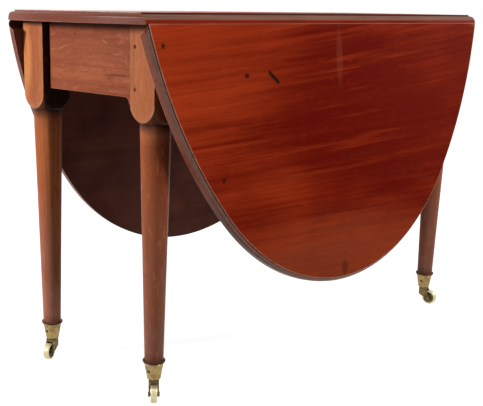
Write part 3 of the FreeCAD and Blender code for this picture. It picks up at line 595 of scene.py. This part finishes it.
def cup_screws(x, y, spin):
    """Heads of the two screws of a cup, square to its sloping wall and opposite each other."""
    slope = (CUP_RIM[0] - CUP_FOOT[0]) / (CUP_RIM[1] - CUP_FOOT[1])
    radius = CUP_FOOT[0] + slope * (CUP_SCREW_HEIGHT - CUP_FOOT[1])
    heads = []
    for turn in (CUP_SCREW_TURN, CUP_SCREW_TURN + math.pi):
        c, s = math.cos(turn), math.sin(turn)
        way = np.array([c, s, -slope])
        place = (x + radius * c, y + radius * s, CUP_SCREW_HEIGHT)
        heads.append(screw_heads([place], way / np.linalg.norm(way), [spin], CUP_SCREW_RADIUS)[0])
    return np.array(heads)


def rail_rows(sign):
    """The outline of an end rail in X and Z, moved in at its rounded edges, carried through its thickness.

    Each point moves along the mean of its two sides' normals, so that both sides move by the same inset."""
    low_x, high_x, bottom, top = -0.120, 0.1205, 0.572, 0.7
    bracket_x, bracket_z, hollow = 0.1055, 0.560, 0.012
    thick, a, lip = 0.022, 0.0008, 0.0008
    cove = arc(bracket_x, bracket_z, hollow, 90.0, 0.0, 12)
    line = np.concatenate([
        np.linspace((low_x, bottom), (bracket_x, bottom), 16)[:-1], cove,
        [[high_x, bracket_z], [high_x, 0.6], [high_x, 0.65], [high_x, top]],
        np.linspace((high_x, top), (low_x, top), 16)[1:], [[low_x, 0.65], [low_x, 0.6]],
    ])
    ahead = np.roll(line, -1, axis=0) - line
    ahead /= np.linalg.norm(ahead, axis=1, keepdims=True)
    out_a = np.stack([ahead[:, 1], -ahead[:, 0]], axis=-1)
    out_b = np.roll(out_a, 1, axis=0)
    out = (out_a + out_b) / (1.0 + np.sum(out_a * out_b, axis=1, keepdims=True))
    t = np.linspace(0.0, np.pi / 2, 5)
    depth = np.concatenate([[0.0], a * (1 - np.cos(t)), [0.005, 0.017], thick - a * (1 - np.sin(t)), [thick]])
    inset = np.concatenate([[a + lip], a * (1 - np.sin(t)), [0.0, 0.0], a * (1 - np.cos(t)), [a + lip]])
    flat = line - out * inset[:, None, None]
    y = np.broadcast_to((RAIL_FACE + depth)[:, None], flat.shape[:2])
    points = np.stack([flat[..., 0], y, flat[..., 1]], axis=-1)
    wear = np.where((inset > 0) & (inset < a), 0.9, 0.0)
    return turn_z(points, half_turn(sign)), wear[:, None]


def peg_ends(sign):
    """Proud ends of the two pegs beside an end rail: rings of a five-lobed circle, falling towards the rim."""
    share = np.array([0.0, 0.4, 0.75, 0.95, 1.0, 1.0])[:, None]
    proud = np.array([0.0007, 0.00066, 0.0005, 0.0002, -0.0002, -0.03])[:, None]
    theta = round_angles(40)
    height = np.array(PEG_HEIGHTS)[:, None, None]
    ring = share * PEG_RADIUS * (1.0 + 0.035 * np.cos(5.0 * theta + height * 40.0))
    y = np.broadcast_to(RAIL_FACE - proud, ring.shape)
    points = np.stack([PEG_X + ring * np.cos(theta), y, height + ring * np.sin(theta)], axis=-1)
    return turn_z(points, half_turn(sign))


# Finishes

def tinted(tone, share):
    """A colour made lighter or darker."""
    return tuple(min(share * c, 1.0) for c in tone)


class Nodes:
    """One node material, with its grain along an axis and its patterns moved by a shift."""

    def __init__(self, name, letter="Z", shift=(0.0, 0.0, 0.0)):
        self.material = bpy.data.materials.new(name)
        self.material.use_nodes = True
        self.tree = self.material.node_tree
        self.shader = self.tree.nodes["Principled BSDF"]
        self.coords = self.add("ShaderNodeTexCoord").outputs["Object"]
        self.grain = self.coords
        self.letter = letter
        self.shift = shift

    def add(self, kind, **values):
        """A new node with its settings."""
        node = self.tree.nodes.new(kind)
        for key, value in values.items():
            setattr(node, key, value)
        return node

    def join(self, source, target):
        """A link from an output to an input."""
        self.tree.links.new(source, target)

    def put(self, socket, value):
        """Links an output to a socket, or sets the socket to a number or a colour."""
        if isinstance(value, bpy.types.NodeSocket):
            self.join(value, socket)
        else:
            socket.default_value = (*value, 1.0) if socket.type == "RGBA" else value

    def noise(self, scale, detail=4.0, rough=0.55, bend=0.0, stretch=(1.0, 1.0, 1.0)):
        """Cloudy noise from 0 to 1."""
        mapping = self.add("ShaderNodeMapping")
        mapping.inputs["Scale"].default_value = stretch
        mapping.inputs["Location"].default_value = self.shift
        self.join(self.grain, mapping.inputs["Vector"])
        texture = self.add("ShaderNodeTexNoise")
        values = {"Scale": scale, "Detail": detail, "Roughness": rough, "Distortion": bend}
        for socket, value in values.items():
            texture.inputs[socket].default_value = value
        self.join(mapping.outputs["Vector"], texture.inputs["Vector"])
        return texture.outputs["Fac"]

    def streaks(self, scale, along, detail=4.0, rough=0.55, bend=0.0, across=1.0):
        """Noise drawn out along the grain: the smaller the scale along it, the longer the streaks."""
        stretch = tuple(along if letter == self.letter else across for letter in "XYZ")
        return self.noise(scale, detail, rough, bend, stretch)

    def fan(self, level, rate):
        """Fans out the grain along Y: its slope grows with the height at a rate, from nothing at a level."""
        slope = self.times(self.math("SUBTRACT", self.axis("Z"), level), rate)
        lifted = self.math("SUBTRACT", self.axis("Z"), self.times(slope, self.axis("Y")))
        whole = self.add("ShaderNodeCombineXYZ")
        for letter, value in zip("XYZ", (self.axis("X"), self.axis("Y"), lifted)):
            self.join(value, whole.inputs[letter])
        self.grain = whole.outputs[0]

    def ramp(self, value, low, high, to_low=0.0, to_high=1.0):
        """A value from low to high, carried smoothly to another range and held at its ends."""
        node = self.add("ShaderNodeMapRange", interpolation_type="SMOOTHSTEP")
        for socket, number in zip(("From Min", "From Max", "To Min", "To Max"), (low, high, to_low, to_high)):
            node.inputs[socket].default_value = number
        self.join(value, node.inputs["Value"])
        return node.outputs["Result"]

    def math(self, kind, a, b):
        """One sum of two values."""
        node = self.add("ShaderNodeMath", operation=kind)
        self.put(node.inputs[0], a)
        self.put(node.inputs[1], b)
        return node.outputs[0]

    def times(self, a, b):
        """The product of two values."""
        return self.math("MULTIPLY", a, b)

    def plus(self, a, b, share):
        """The first value and a share of the second."""
        return self.math("ADD", a, self.times(b, share))

    def mix(self, share, a, b):
        """The first colour turning into the second; the node's seventh and eighth inputs are its colours."""
        node = self.add("ShaderNodeMix", data_type="RGBA")
        for socket, value in ((node.inputs["Factor"], share), (node.inputs[6], a), (node.inputs[7], b)):
            self.put(socket, value)
        return node.outputs[2]

    def over(self, base, tone, value, low, high, weight):
        """A tone laid over the base where a value goes from low to high, up to a weight."""
        return self.mix(self.ramp(value, low, high, 0.0, weight), base, tone)

    def attribute(self, name):
        """A number that the mesh carries at its points."""
        return self.add("ShaderNodeAttribute", attribute_name=name).outputs["Fac"]

    def axis(self, letter):
        """One of the three coordinates."""
        split = self.add("ShaderNodeSeparateXYZ")
        self.join(self.coords, split.inputs[0])
        return split.outputs[letter]

    def vector(self, kind, a, b, socket="Vector"):
        """One step of vector arithmetic."""
        node = self.add("ShaderNodeVectorMath", operation=kind)
        self.put(node.inputs[0], a)
        if b is not None:
            self.put(node.inputs["Scale" if kind == "SCALE" else 1], b)
        return node.outputs[socket]

    def near(self, point, reach, stretch):
        """One at a point, falling to nothing at the reach; an offset scaled below one widens the spot."""
        offset = self.vector("MULTIPLY", self.vector("SUBTRACT", self.coords, point), stretch)
        return self.ramp(self.vector("LENGTH", offset, None, "Value"), reach * 0.45, reach, 1.0, 0.0)

    def stroke(self, start, stop, reach):
        """One along a short straight mark, falling to nothing at the reach from it."""
        way = np.array(stop) - np.array(start)
        span = float(np.linalg.norm(way))
        offset = self.vector("SUBTRACT", self.coords, start)
        held = self.add("ShaderNodeClamp")
        held.inputs["Max"].default_value = span
        self.join(self.vector("DOT_PRODUCT", offset, way / span, "Value"), held.inputs["Value"])
        foot = self.vector("SCALE", way / span, held.outputs[0])
        return self.ramp(self.vector("DISTANCE", offset, foot, "Value"), reach * 0.5, reach, 1.0, 0.0)

    def bump(self, height, strength, distance):
        """Small relief from a height."""
        node = self.add("ShaderNodeBump")
        node.inputs["Strength"].default_value = strength
        node.inputs["Distance"].default_value = distance
        self.join(height, node.inputs["Height"])
        self.join(node.outputs["Normal"], self.shader.inputs["Normal"])

    def finish(self, base, rough, metallic=0.0, specular=0.5):
        """Wires the colour and the roughness, sets the even values and hands over the material."""
        self.join(base, self.shader.inputs["Base Color"])
        self.join(rough, self.shader.inputs["Roughness"])
        self.shader.inputs["Metallic"].default_value = metallic
        self.shader.inputs["Specular IOR Level"].default_value = specular
        return self.material


def polished(name, axis, pale, deep, f, shift, gloss=0.34, specular=0.07, painted_falloff=None, spots=(), lower=None,
             scar=None, clouds=(), shadow_under_top=None, fan=None, worn=None, mottle=0.45, scratches=()):
    """Polished mahogany with its grain along one axis: slow patches, ribbon streaks, dark lines and pores.

    Painted light draws the lighter colour towards one end (axis, from, to, weight). Clouds are broad zones of
    another colour, spots are dark marks and scar a straight one. Lower gives a second pair of colours below a
    height, with a toe that is partly browner wood and partly a painted sheen. A painted shadow thickens under
    the top's overhang (from, to, weight). Fan lets the grain spread. Mottle is the weight of smudges and small
    chips, and scratches are thin pale lines. Fine scuffs lie across the grain. Worn edges are paler, and the
    painted shade that the mesh carries is nearly black."""
    n = Nodes(name, axis, shift)
    if fan is not None:
        n.fan(*fan)
    slow = n.streaks(4.0, 0.40, 3.0, 0.55, 0.4)
    ribbon = n.streaks(30.0, 0.040, 5.0, 0.58, 0.5)
    thread = n.streaks(75.0, 0.025, 4.0, 0.6, 0.3)
    line = n.streaks(150.0, 0.016, 4.0, 0.6, 0.15)
    fleck = n.streaks(240.0, 0.6, 2.0, 0.5)
    pore = n.streaks(760.0, 0.05, 2.0, 0.5)
    smudge = n.streaks(22.0, 0.45, 5.0, 0.65, 0.6)
    chip = n.streaks(105.0, 0.28, 4.0, 0.65, 0.4)
    scuff = n.streaks(150.0, 1.0, 4.0, 0.65, 0.3, across=0.22)
    dirt = n.noise(45.0)
    share = n.plus(n.plus(n.times(slow, 0.8), ribbon, 0.65), line, 0.35)
    share = n.ramp(share, 0.68, 1.14)
    # Painted light: the face grows lighter towards one end
    if painted_falloff is not None:
        letter, low, high, weight = painted_falloff
        share = n.plus(n.times(share, 1.0 - weight), n.ramp(n.axis(letter), low, high), weight)
    base = n.mix(share, deep, pale)
    for point, reach, stretch, weight, tone in clouds:
        broken = n.ramp(ribbon, 0.42, 0.66, weight, weight * 0.80)
        base = n.mix(n.times(n.near(point, reach, stretch), broken), base, tone)
    base = n.over(base, pale, thread, 0.55, 0.74, 0.28)
    base = n.over(base, deep, thread, 0.47, 0.30, 0.42)
    if lower is not None:
        height, low_pale, low_deep, toe = lower
        # The toe laid over the lower leg is partly browner wood and partly a painted sheen
        shaft = n.over(n.mix(share, low_deep, low_pale), toe, n.axis("Z"), 0.46, 0.12, 0.78)
        base = n.mix(n.ramp(n.axis("Z"), height - 0.02, height + 0.02), shaft, base)
    base = n.over(base, f.dark, line, 0.55, 0.76, 0.34)
    base = n.over(base, f.dark, fleck, 0.58, 0.74, 0.16)
    base = n.over(base, f.dark, pore, 0.58, 0.70, 0.22)
    for point, reach, stretch, weight in spots:
        base = n.mix(n.times(n.near(point, reach, stretch), weight), base, f.grime)
    if scar is not None:
        base = n.mix(n.times(n.stroke(*scar), 0.95), base, f.grime)
    base = n.over(base, deep, smudge, 0.52, 0.70, mottle)
    base = n.over(base, tinted(pale, 1.25), chip, 0.53, 0.70, mottle * 0.60)
    base = n.over(base, deep, chip, 0.47, 0.34, mottle * 0.55)
    base = n.over(base, tinted(pale, 1.2), scuff, 0.57, 0.76, mottle * 0.30)
    for scratch in scratches:
        broken = n.ramp(dirt, 0.40, 0.60, 0.05, 0.30)
        base = n.mix(n.times(n.stroke(*scratch), broken), base, f.worn)
    rubbed = n.times(n.attribute("wear"), n.ramp(dirt, 0.36, 0.60, 0.15, 0.70))
    base = n.mix(rubbed, base, worn or f.worn)
    # Painted shadow that thickens under the top's overhang
    if shadow_under_top is not None:
        base = n.over(base, f.grime, n.axis("Z"), *shadow_under_top)
    # Painted shade where the mesh carries it: the legs' recesses and hidden faces
    painted_shade_mask = n.times(n.attribute("grime"), n.ramp(dirt, 0.25, 0.5, 0.8, 1.0))
    base = n.mix(painted_shade_mask, base, f.grime)
    n.bump(n.math("ADD", n.times(line, 0.6), n.ramp(pore, 0.52, 0.7, 0.4, 0.0)), 0.30, 0.0003)
    rough = n.ramp(n.plus(dirt, pore, 0.4), 0.4, 1.0, gloss, gloss + 0.16)
    return n.finish(base, rough, specular=specular)


def handled_edge(name, axis, f, zones, shift, specular=0.13, gloss=0.24):
    """The moulded edge of a board, with fine lines along it, dirt and paler worn arrises.

    Zones are colours one above the other, each with the share of the board's thickness where it begins."""
    n = Nodes(name, axis, shift)
    patch = n.streaks(14.0, 0.4, 4.0, 0.6)
    line = n.streaks(170.0, 0.03, 3.0, 0.6)
    dirt = n.noise(60.0)
    rise = n.plus(n.attribute("rise"), n.math("SUBTRACT", patch, 0.5), 0.03)
    base = zones[0][1]
    for height, tone in zones[1:]:
        base = n.mix(n.ramp(rise, height - 0.05, height + 0.05), base, tone)
    base = n.over(base, f.dark, line, 0.5, 0.72, 0.30)
    base = n.over(base, f.dark, patch, 0.55, 0.8, 0.30)
    rubbed = n.times(n.attribute("wear"), n.ramp(dirt, 0.34, 0.58, 0.25, 0.85))
    base = n.mix(rubbed, base, f.worn)
    n.bump(line, 0.12, 0.0002)
    return n.finish(base, n.ramp(patch, 0.35, 0.7, gloss, gloss + 0.10), specular=specular)


def bare_wood(name, axis, pale, deep, shift=(0.0, 0.0, 0.0)):
    """Planed, unpolished wood: broad bands, fine lines and dirt, no gloss."""
    n = Nodes(name, axis, shift)
    band = n.streaks(18.0, 0.05, 5.0, 0.6, 0.3)
    line = n.streaks(160.0, 0.02, 3.0, 0.6)
    dirt = n.noise(9.0, 5.0, 0.6)
    base = n.mix(n.ramp(band, 0.3, 0.72), deep, pale)
    base = n.over(base, deep, line, 0.5, 0.72, 0.4)
    base = n.over(base, tinted(deep, 0.4), dirt, 0.45, 0.75, 0.55)
    n.bump(n.plus(line, band, 0.4), 0.4, 0.0005)
    return n.finish(base, n.ramp(dirt, 0.3, 0.7, 0.68, 0.86), specular=0.2)


def aged_brass(name, f, metal, bright, rough, metallic=0.85):
    """Brass with brown tarnish in patches and small pits; the brighter it is, the less tarnish."""
    n = Nodes(name)
    patch = n.noise(95.0, 5.0, 0.65)
    pits = n.noise(900.0, 2.0)
    scratch = n.streaks(420.0, 0.08, 2.0)
    base = n.over(metal, f.tarnish, n.plus(patch, scratch, 0.25), 0.50 + bright, 0.90 + bright, 0.75)
    base = n.over(base, tinted(f.tarnish, 0.5), pits, 0.62, 0.75, 0.5)
    # Painted shade where the mesh carries it: the wheels' dished hollows
    base = n.mix(n.attribute("grime"), base, f.grime)
    n.bump(n.plus(pits, patch, 0.5), 0.25, 0.0002)
    skin = n.ramp(n.plus(patch, scratch, 0.3), 0.4, 0.9, rough, rough + 0.25)
    return n.finish(base, skin, metallic=metallic)


def dull_iron(name, f):
    """Blackened iron with rusty patches and a pitted skin."""
    n = Nodes(name)
    rust = n.noise(70.0, 5.0, 0.7)
    pits = n.noise(700.0, 2.0)
    base = n.over(f.iron, f.iron_rust, rust, 0.52, 0.70, 0.8)
    n.bump(n.math("ADD", pits, rust), 0.4, 0.0003)
    return n.finish(base, n.ramp(rust, 0.35, 0.65, 0.42, 0.72), metallic=0.6)


def finish_nodes(material, *names):
    """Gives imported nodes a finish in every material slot."""
    for name in names:
        node = frame["nodes"][name]
        node.data.materials.clear()
        node.data.materials.append(material)


# Operators

def packed_joint(name):
    """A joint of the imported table."""
    return next(joint for joint in frame["joints"] if joint["name"] == name)


def leg_place(corner):
    """Axis of a leg, from the swivel of its caster, and the body that it rides on."""
    x, y, _ = packed_joint(f"swivel_{corner}_turn")["pos_m"]
    return x, y, SWING.get(corner, "frame")


class TABLE_OT_top(bpy.types.Operator):
    """Make the fixed top with its moulded ends and rounded joint edges"""
    bl_idname = "table.top"
    bl_label = "Top"

    def execute(self, context):
        b, _, f = settings()
        rows, slots, attributes = top_rows(b)
        face = polished("polished_top", "Y", f.orange, f.red, f, shift=(3.1, 0.7, 1.9), gloss=0.42,
                        specular=0.02, mottle=0.3)
        under = bare_wood("bare_underside_top", "Y", f.bare, tinted(f.bare, 0.45))
        zones = ((0.0, f.rim), (0.90, f.edge))
        edge = handled_edge("handled_edge_top", "X", f, zones, shift=(0.5, 0.2, 0.7), specular=0.08)
        # Joint zones: red wood low; grey brown above, partly worn edge and partly a painted reflection on the
        # upward-facing round; a painted shadow of the step at the top
        zones = ((0.0, f.joint_red), (0.40, f.edge), (0.82, f.step_shadow))
        joint = handled_edge("rounded_joint_top", "Y", f, zones, shift=(0.9, 0.4, 0.1), specular=0.02,
                             gloss=0.55)
        piece = add_piece("top_oval", rows, "frame", "mahogany", [face, under, edge, joint], slots=slots,
                          **attributes)
        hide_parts("top_board")
        return {"FINISHED"}


class TABLE_OT_leaves(bpy.types.Operator):
    """Make the two hanging leaves with hollow joint edges"""
    bl_idname = "table.leaves"
    bl_label = "Leaves"

    def execute(self, context):
        b, _, f = settings()
        under = bare_wood("bare_underside_leaf", "Y", f.bare, tinted(f.bare, 0.45), shift=(1.0, 2.0, 0.0))
        zones = ((0.0, f.rim), (0.62, f.edge))
        edge = handled_edge("handled_edge_leaf", "Y", f, zones, shift=(1.5, 0.2, 0.7))
        cove = bare_wood("rubbed_cove", "Y", tinted(f.rim, 1.2), tinted(f.rim, 0.6), shift=(0.3, 0.1, 0.6))
        rows, slots, attributes = leaf_rows(b)
        for side, sign in SIDES.items():
            clouds = [((sign * x, sign * y, z), reach, stretch, weight, getattr(f, tone))
                      for (x, y, z), reach, stretch, weight, tone in LEAF_CLOUDS]
            marks = {"spots": LEAF_MARKS, "scar": LEAF_SCAR} if sign > 0 else {}
            # The lighter end of each leaf's face is painted light
            face = polished(f"polished_leaf_{side}", "Y", f.orange, f.red, f, shift=(0.4 * sign, 1.3, 0.2),
                            gloss=0.40, specular=0.008, painted_falloff=("Y", -0.28 * sign, -0.60 * sign, 0.40),
                            clouds=clouds, fan=(0.40, 0.36 * sign), worn=f.rubbed, mottle=0.09, **marks)
            piece = add_piece(f"leaf_oval_{side}", hang(rows, b, sign), f"leaf_{side}", "mahogany",
                              [face, under, edge, cove], slots=slots, **attributes)
            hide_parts(f"leaf_{side}")
        return {"FINISHED"}


class TABLE_OT_legs(bpy.types.Operator):
    """Turn the four legs: arched block, straight taper, ring and foot"""
    bl_idname = "table.legs"
    bl_label = "Legs"

    def execute(self, context):
        _, g, f = settings()
        most, paler = (f.tan, f.brown, f.toe), (f.honey, f.chestnut, f.pale_toe)
        for i, corner in enumerate(CORNERS):
            x, y, body = leg_place(corner)
            swings = corner in SWING
            rows, attributes = leg_rows(g, g.top - (g.drop if swings else 0.0))
            placed = turn_z(rows, half_turn(x) - (g.ajar if swings else 0.0)) + (x, y, 0.0)
            # Amber streak: centre, reach, scale of the offset, weight, colour
            streak = ((x + math.copysign(0.031, x), y, 0.63), 0.034, (1.0, 0.2, 0.30), 0.65, f.amber)
            # The paler leg's lighter colours are partly paler wood and partly painted light
            turning = paler if corner == PALER_LEG else most
            # The dark band under the top is a painted shadow
            wood = polished(f"polished_leg_{corner}", "Z", f.sienna, f.umber, f, shift=(1.7 * i, 0.9 * i, 0.3),
                            gloss=0.32, specular=0.05, lower=(TURNING_TOP, *turning), shadow_under_top=LEG_SHADOW_UNDER_TOP,
                            mottle=0.60, clouds=[streak] if swings else ())
            piece = add_piece(f"turned_leg_{corner}", placed, body, "mahogany", [wood], sharp=28.0,
                              **attributes)
            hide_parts(f"leg_{corner}")
        return {"FINISHED"}


class TABLE_OT_end_rails(bpy.types.Operator):
    """Make the end rails with their small brackets, and the peg ends beside them"""
    bl_idname = "table.end_rails"
    bl_label = "End rails and pegs"

    def execute(self, context):
        _, _, f = settings()
        peg_wood = bare_wood("peg_end_grain", "Y", tinted(f.brown, 0.8), f.dark)
        for i, (end, sign) in enumerate(ENDS.items()):
            rows, wear = rail_rows(sign)
            marks = {"spots": RAIL_MARKS, "scratches": RAIL_SCRATCHES} if sign > 0 else {}
            # The dark band under the top is a painted shadow
            wood = polished(f"polished_rail_{end}", "X", f.pink, f.rust, f, shift=(0.3, 2.0 * i, 1.1),
                            gloss=0.38, specular=0.05, shadow_under_top=RAIL_SHADOW_UNDER_TOP, mottle=0.85, **marks)
            piece = add_piece(f"bracketed_rail_{end}", rows, "frame", "mahogany", [wood], wear=wear)
            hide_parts(f"end_rail_{end}")
            heads = add_discs(f"peg_ends_{end}", peg_ends(sign), "frame", peg_wood)
            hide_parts(f"rail_pegs_{end}")
        return {"FINISHED"}


class TABLE_OT_inner_frame(bpy.types.Operator):
    """Finish the rails, gates, pins and glue blocks inside the frame"""
    bl_idname = "table.inner_frame"
    bl_label = "Inner frame"

    def execute(self, context):
        _, _, f = settings()
        deep = tinted(f.oak, 0.42)
        rails = bare_wood("planed_rails", "Y", f.oak, deep)
        blocks = bare_wood("sawn_blocks", "Y", tinted(f.oak, 1.15), deep, shift=(4.0, 1.0, 2.0))
        gates = polished("polished_gates", "Y", f.tan, f.brown, f, shift=(2.0, 3.0, 1.0), gloss=0.46)
        iron = dull_iron("iron_pins", f)
        for side in SIDES:
            finish_nodes(rails, f"inner_rail_{side}")
            finish_nodes(blocks, f"glue_blocks_{side}")
            finish_nodes(gates, f"fixed_rail_{side}", f"fly_rail_{side}")
            finish_nodes(iron, f"gate_pin_{side}")
        return {"FINISHED"}


class TABLE_OT_hinges(bpy.types.Operator):
    """Finish the leaf hinges and set their countersunk screws"""
    bl_idname = "table.hinges"
    bl_label = "Hinges and screws"

    def execute(self, context):
        b, _, f = settings()
        iron = dull_iron("iron_hinges", f)
        steel = dull_iron("iron_screws", f)
        mids = [place * b.hinge_pitch for place in HINGE_PLACES]
        top = [(b.hinge_half - x, mid + y, b.underside - TOP_PLATE) for mid in mids for x, y in TOP_SCREWS]
        flat = [(x, mid + y, -LEAF_PLATE) for mid in mids for x, y in LEAF_SCREWS]
        spin = np.linspace(0.2, 8.0, len(top))
        for side, sign in SIDES.items():
            finish_nodes(iron, f"hinge_top_plates_{side}", f"hinge_leaf_plates_{side}", f"hinge_pins_{side}")
            heads = turn_z(screw_heads(top, DOWN, spin), half_turn(sign))
            add_discs(f"top_hinge_screws_{side}", heads, "frame", steel)
            heads = hang(screw_heads(flat, DOWN, spin + 0.7), b, sign)
            add_discs(f"leaf_hinge_screws_{side}", heads, f"leaf_{side}", steel)
        return {"FINISHED"}


class TABLE_OT_casters(bpy.types.Operator):
    """Make the brass cups and wheels and finish the forks and axles"""
    bl_idname = "table.casters"
    bl_label = "Casters"

    def execute(self, context):
        _, _, f = settings()
        cup_brass = aged_brass("brass_cups", f, f.brass, bright=0.02, rough=0.30, metallic=0.72)
        wheel_brass = aged_brass("brass_wheels", f, f.pale_brass, bright=0.12, rough=0.28)
        fork_brass = aged_brass("brass_forks", f, tinted(f.brass, 0.45), bright=-0.06, rough=0.42)
        screw_iron = dull_iron("iron_cup_screws", f)
        cup, tread, bent = lathe(cup_profile()), wheel_profile(), fork_web()
        # Painted shade in the dished hollow of each wheel
        dished = np.clip((DISH_RADIUS - tread[:, :1]) / DISH_BORDER, 0.0, 1.0)
        for i, corner in enumerate(CORNERS):
            x, y, body = leg_place(corner)
            piece = add_piece(f"brass_cup_{corner}", cup + (x, y, 0.0), body, "brass", [cup_brass], caps=False,
                              sharp=40.0)
            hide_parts(f"caster_cup_{corner}")
            roll = packed_joint(f"wheel_{corner}_roll")
            hub = np.array(roll["pos_m"])
            axle = np.array(roll["axis"], float)
            axle /= np.linalg.norm(axle)
            ahead = np.cross(axle, UP)
            wheel = hub + lathe(tread) @ np.array([ahead, UP, axle])
            piece = add_piece(f"brass_wheel_{corner}", wheel, f"wheel_{corner}", "brass", [wheel_brass],
                              caps=False, sharp=40.0, grime=0.85 * dished)
            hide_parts(f"caster_wheel_{corner}")
            web = hub + bent @ np.array([ahead, axle, UP])
            add_piece(f"fork_web_{corner}", web, f"swivel_{corner}", "brass", [fork_brass], sharp=40.0)
            finish_nodes(fork_brass, f"caster_fork_{corner}", f"caster_axle_{corner}")
            add_discs(f"cup_screws_{corner}", cup_screws(x, y, 0.6 + i), body, screw_iron)
        return {"FINISHED"}


def placing(across, up, back, place):
    """A matrix from three axes and a point."""
    matrix = np.identity(4)
    matrix[:3] = np.stack([across, up, back, place], axis=-1)
    return Matrix(matrix.tolist())


def area_light(name, place, target, size, power):
    """A round lamp that faces a point."""
    data = bpy.data.lights.new(name, "AREA")
    data.shape = "DISK"
    data.size = size
    data.energy = power
    way = np.array(target) - np.array(place)
    way /= np.linalg.norm(way)
    across = np.cross(way, UP)
    across /= np.linalg.norm(across)
    lamp = bpy.data.objects.new(name, data)
    lamp.matrix_world = placing(across, np.cross(across, way), -way, place)
    bpy.context.scene.collection.objects.link(lamp)


def background_rays(tree):
    """One for the rays that see the white background: from the camera, off gloss or through clear bodies."""
    path = tree.nodes.new("ShaderNodeLightPath")
    seen = path.outputs["Is Camera Ray"]
    for name in ("Is Glossy Ray", "Is Transmission Ray"):
        either = tree.nodes.new("ShaderNodeMath")
        either.operation = "MAXIMUM"
        tree.links.new(seen, either.inputs[0])
        tree.links.new(path.outputs[name], either.inputs[1])
        seen = either.outputs[0]
    return seen


class TABLE_OT_stage(bpy.types.Operator):
    """Set the floor, the even light, the lamps and the camera"""
    bl_idname = "table.stage"
    bl_label = "Stage"

    def execute(self, context):
        scene = context.scene
        values = scene.table_stage
        scene.view_settings.view_transform = "Standard"
        self.floor(scene, values)
        self.sky(scene, values)
        for name, place, target, size in LAMPS:
            area_light(name, place, target, size, getattr(values, name))
        self.camera(scene)
        return {"FINISHED"}

    def floor(self, scene, values):
        """A wide floor that the camera sees as white, a little less so round the table."""
        far = 40.0
        corners = np.array([(-far, -far, 0.0), (far, -far, 0.0), (far, far, 0.0), (-far, far, 0.0)])
        n = Nodes("pale_floor")
        n.shader.inputs["Base Color"].default_value = (*values.floor, 1.0)
        n.shader.inputs["Roughness"].default_value = 0.9
        n.shader.inputs["Specular IOR Level"].default_value = 0.0
        white = n.ramp(n.vector("LENGTH", n.coords, None, "Value"), 0.5, 1.5, 0.86, 1.0)
        glow = n.add("ShaderNodeEmission")
        n.join(n.times(background_rays(n.tree), white), glow.inputs["Strength"])
        both = n.add("ShaderNodeAddShader")
        n.join(n.shader.outputs[0], both.inputs[0])
        n.join(glow.outputs[0], both.inputs[1])
        n.join(both.outputs[0], n.tree.nodes["Material Output"].inputs["Surface"])
        floor = bpy.data.objects.new("floor", new_mesh("floor", corners, [(0, 1, 2, 3)], [n.material]))
        scene.collection.objects.link(floor)

    def sky(self, scene, values):
        """A weak even light, white where the background shows."""
        world = scene.world or bpy.data.worlds.new("even_light")
        scene.world = world
        world.use_nodes = True
        tree = world.node_tree
        back = tree.nodes["Background"]
        back.inputs["Color"].default_value = (1.0, 1.0, 1.0, 1.0)
        level = tree.nodes.new("ShaderNodeMapRange")
        level.inputs["To Min"].default_value = values.sky
        level.inputs["To Max"].default_value = 1.0
        tree.links.new(background_rays(tree), level.inputs["Value"])
        tree.links.new(level.outputs["Result"], back.inputs["Strength"])

    def camera(self, scene):
        """The photograph's camera, turned by yaw, pitch and roll."""
        data = bpy.data.cameras.new("photograph")
        data.sensor_fit = "HORIZONTAL"
        data.sensor_width = SENSOR
        data.lens = FOCAL * SENSOR / PHOTO_WIDE
        data.shift_x = (PHOTO_WIDE / 2 - CENTRE[0]) / PHOTO_WIDE
        data.shift_y = (CENTRE[1] - PHOTO_HIGH / 2) / PHOTO_WIDE
        data.clip_end = 200.0
        yaw, pitch, roll = math.radians(YAW), math.radians(PITCH), math.radians(ROLL)
        flat = math.cos(pitch)
        ahead = np.array([-math.sin(yaw) * flat, math.cos(yaw) * flat, -math.sin(pitch)])
        level = np.array([math.cos(yaw), math.sin(yaw), 0.0])
        upright = np.cross(level, ahead)
        right = math.cos(roll) * level + math.sin(roll) * upright
        up = -math.sin(roll) * level + math.cos(roll) * upright
        camera = bpy.data.objects.new("photograph", data)
        camera.matrix_world = placing(right, up, -ahead, EYE)
        scene.collection.objects.link(camera)
        scene.camera = camera


PIECES = (TABLE_OT_top, TABLE_OT_leaves, TABLE_OT_legs, TABLE_OT_end_rails, TABLE_OT_inner_frame,
          TABLE_OT_hinges, TABLE_OT_casters, TABLE_OT_stage)
GROUPS = {"table_boards": BoardSizes, "table_legs": LegSizes, "table_finishes": Finishes,
          "table_stage": StageValues}


class TABLE_PT_panel(bpy.types.Panel):
    """The table's pieces and sizes"""
    bl_idname = "TABLE_PT_panel"
    bl_label = "Drop-leaf table"
    bl_space_type = "VIEW_3D"
    bl_region_type = "UI"
    bl_category = "Table"

    def draw(self, context):
        for piece in PIECES:
            self.layout.operator(piece.bl_idname)
        for group in GROUPS:
            box = self.layout.box()
            values = getattr(context.scene, group)
            for name in values.bl_rna.properties.keys():
                if name not in ("rna_type", "name"):
                    box.prop(values, name)


def register():
    """Adds the classes and the groups of values."""
    for kind in (*GROUPS.values(), *PIECES, TABLE_PT_panel):
        bpy.utils.register_class(kind)
    for name, kind in GROUPS.items():
        setattr(bpy.types.Scene, name, PointerProperty(type=kind))


def unregister():
    """Takes them out again."""
    for name in GROUPS:
        delattr(bpy.types.Scene, name)
    for kind in reversed((*GROUPS.values(), *PIECES, TABLE_PT_panel)):
        bpy.utils.unregister_class(kind)


def main():
    """Makes every piece and the stage."""
    register()
    for piece in PIECES:
        family, name = piece.bl_idname.split(".")
        getattr(getattr(bpy.ops, family), name)()


if __name__ == "__main__":
    main()
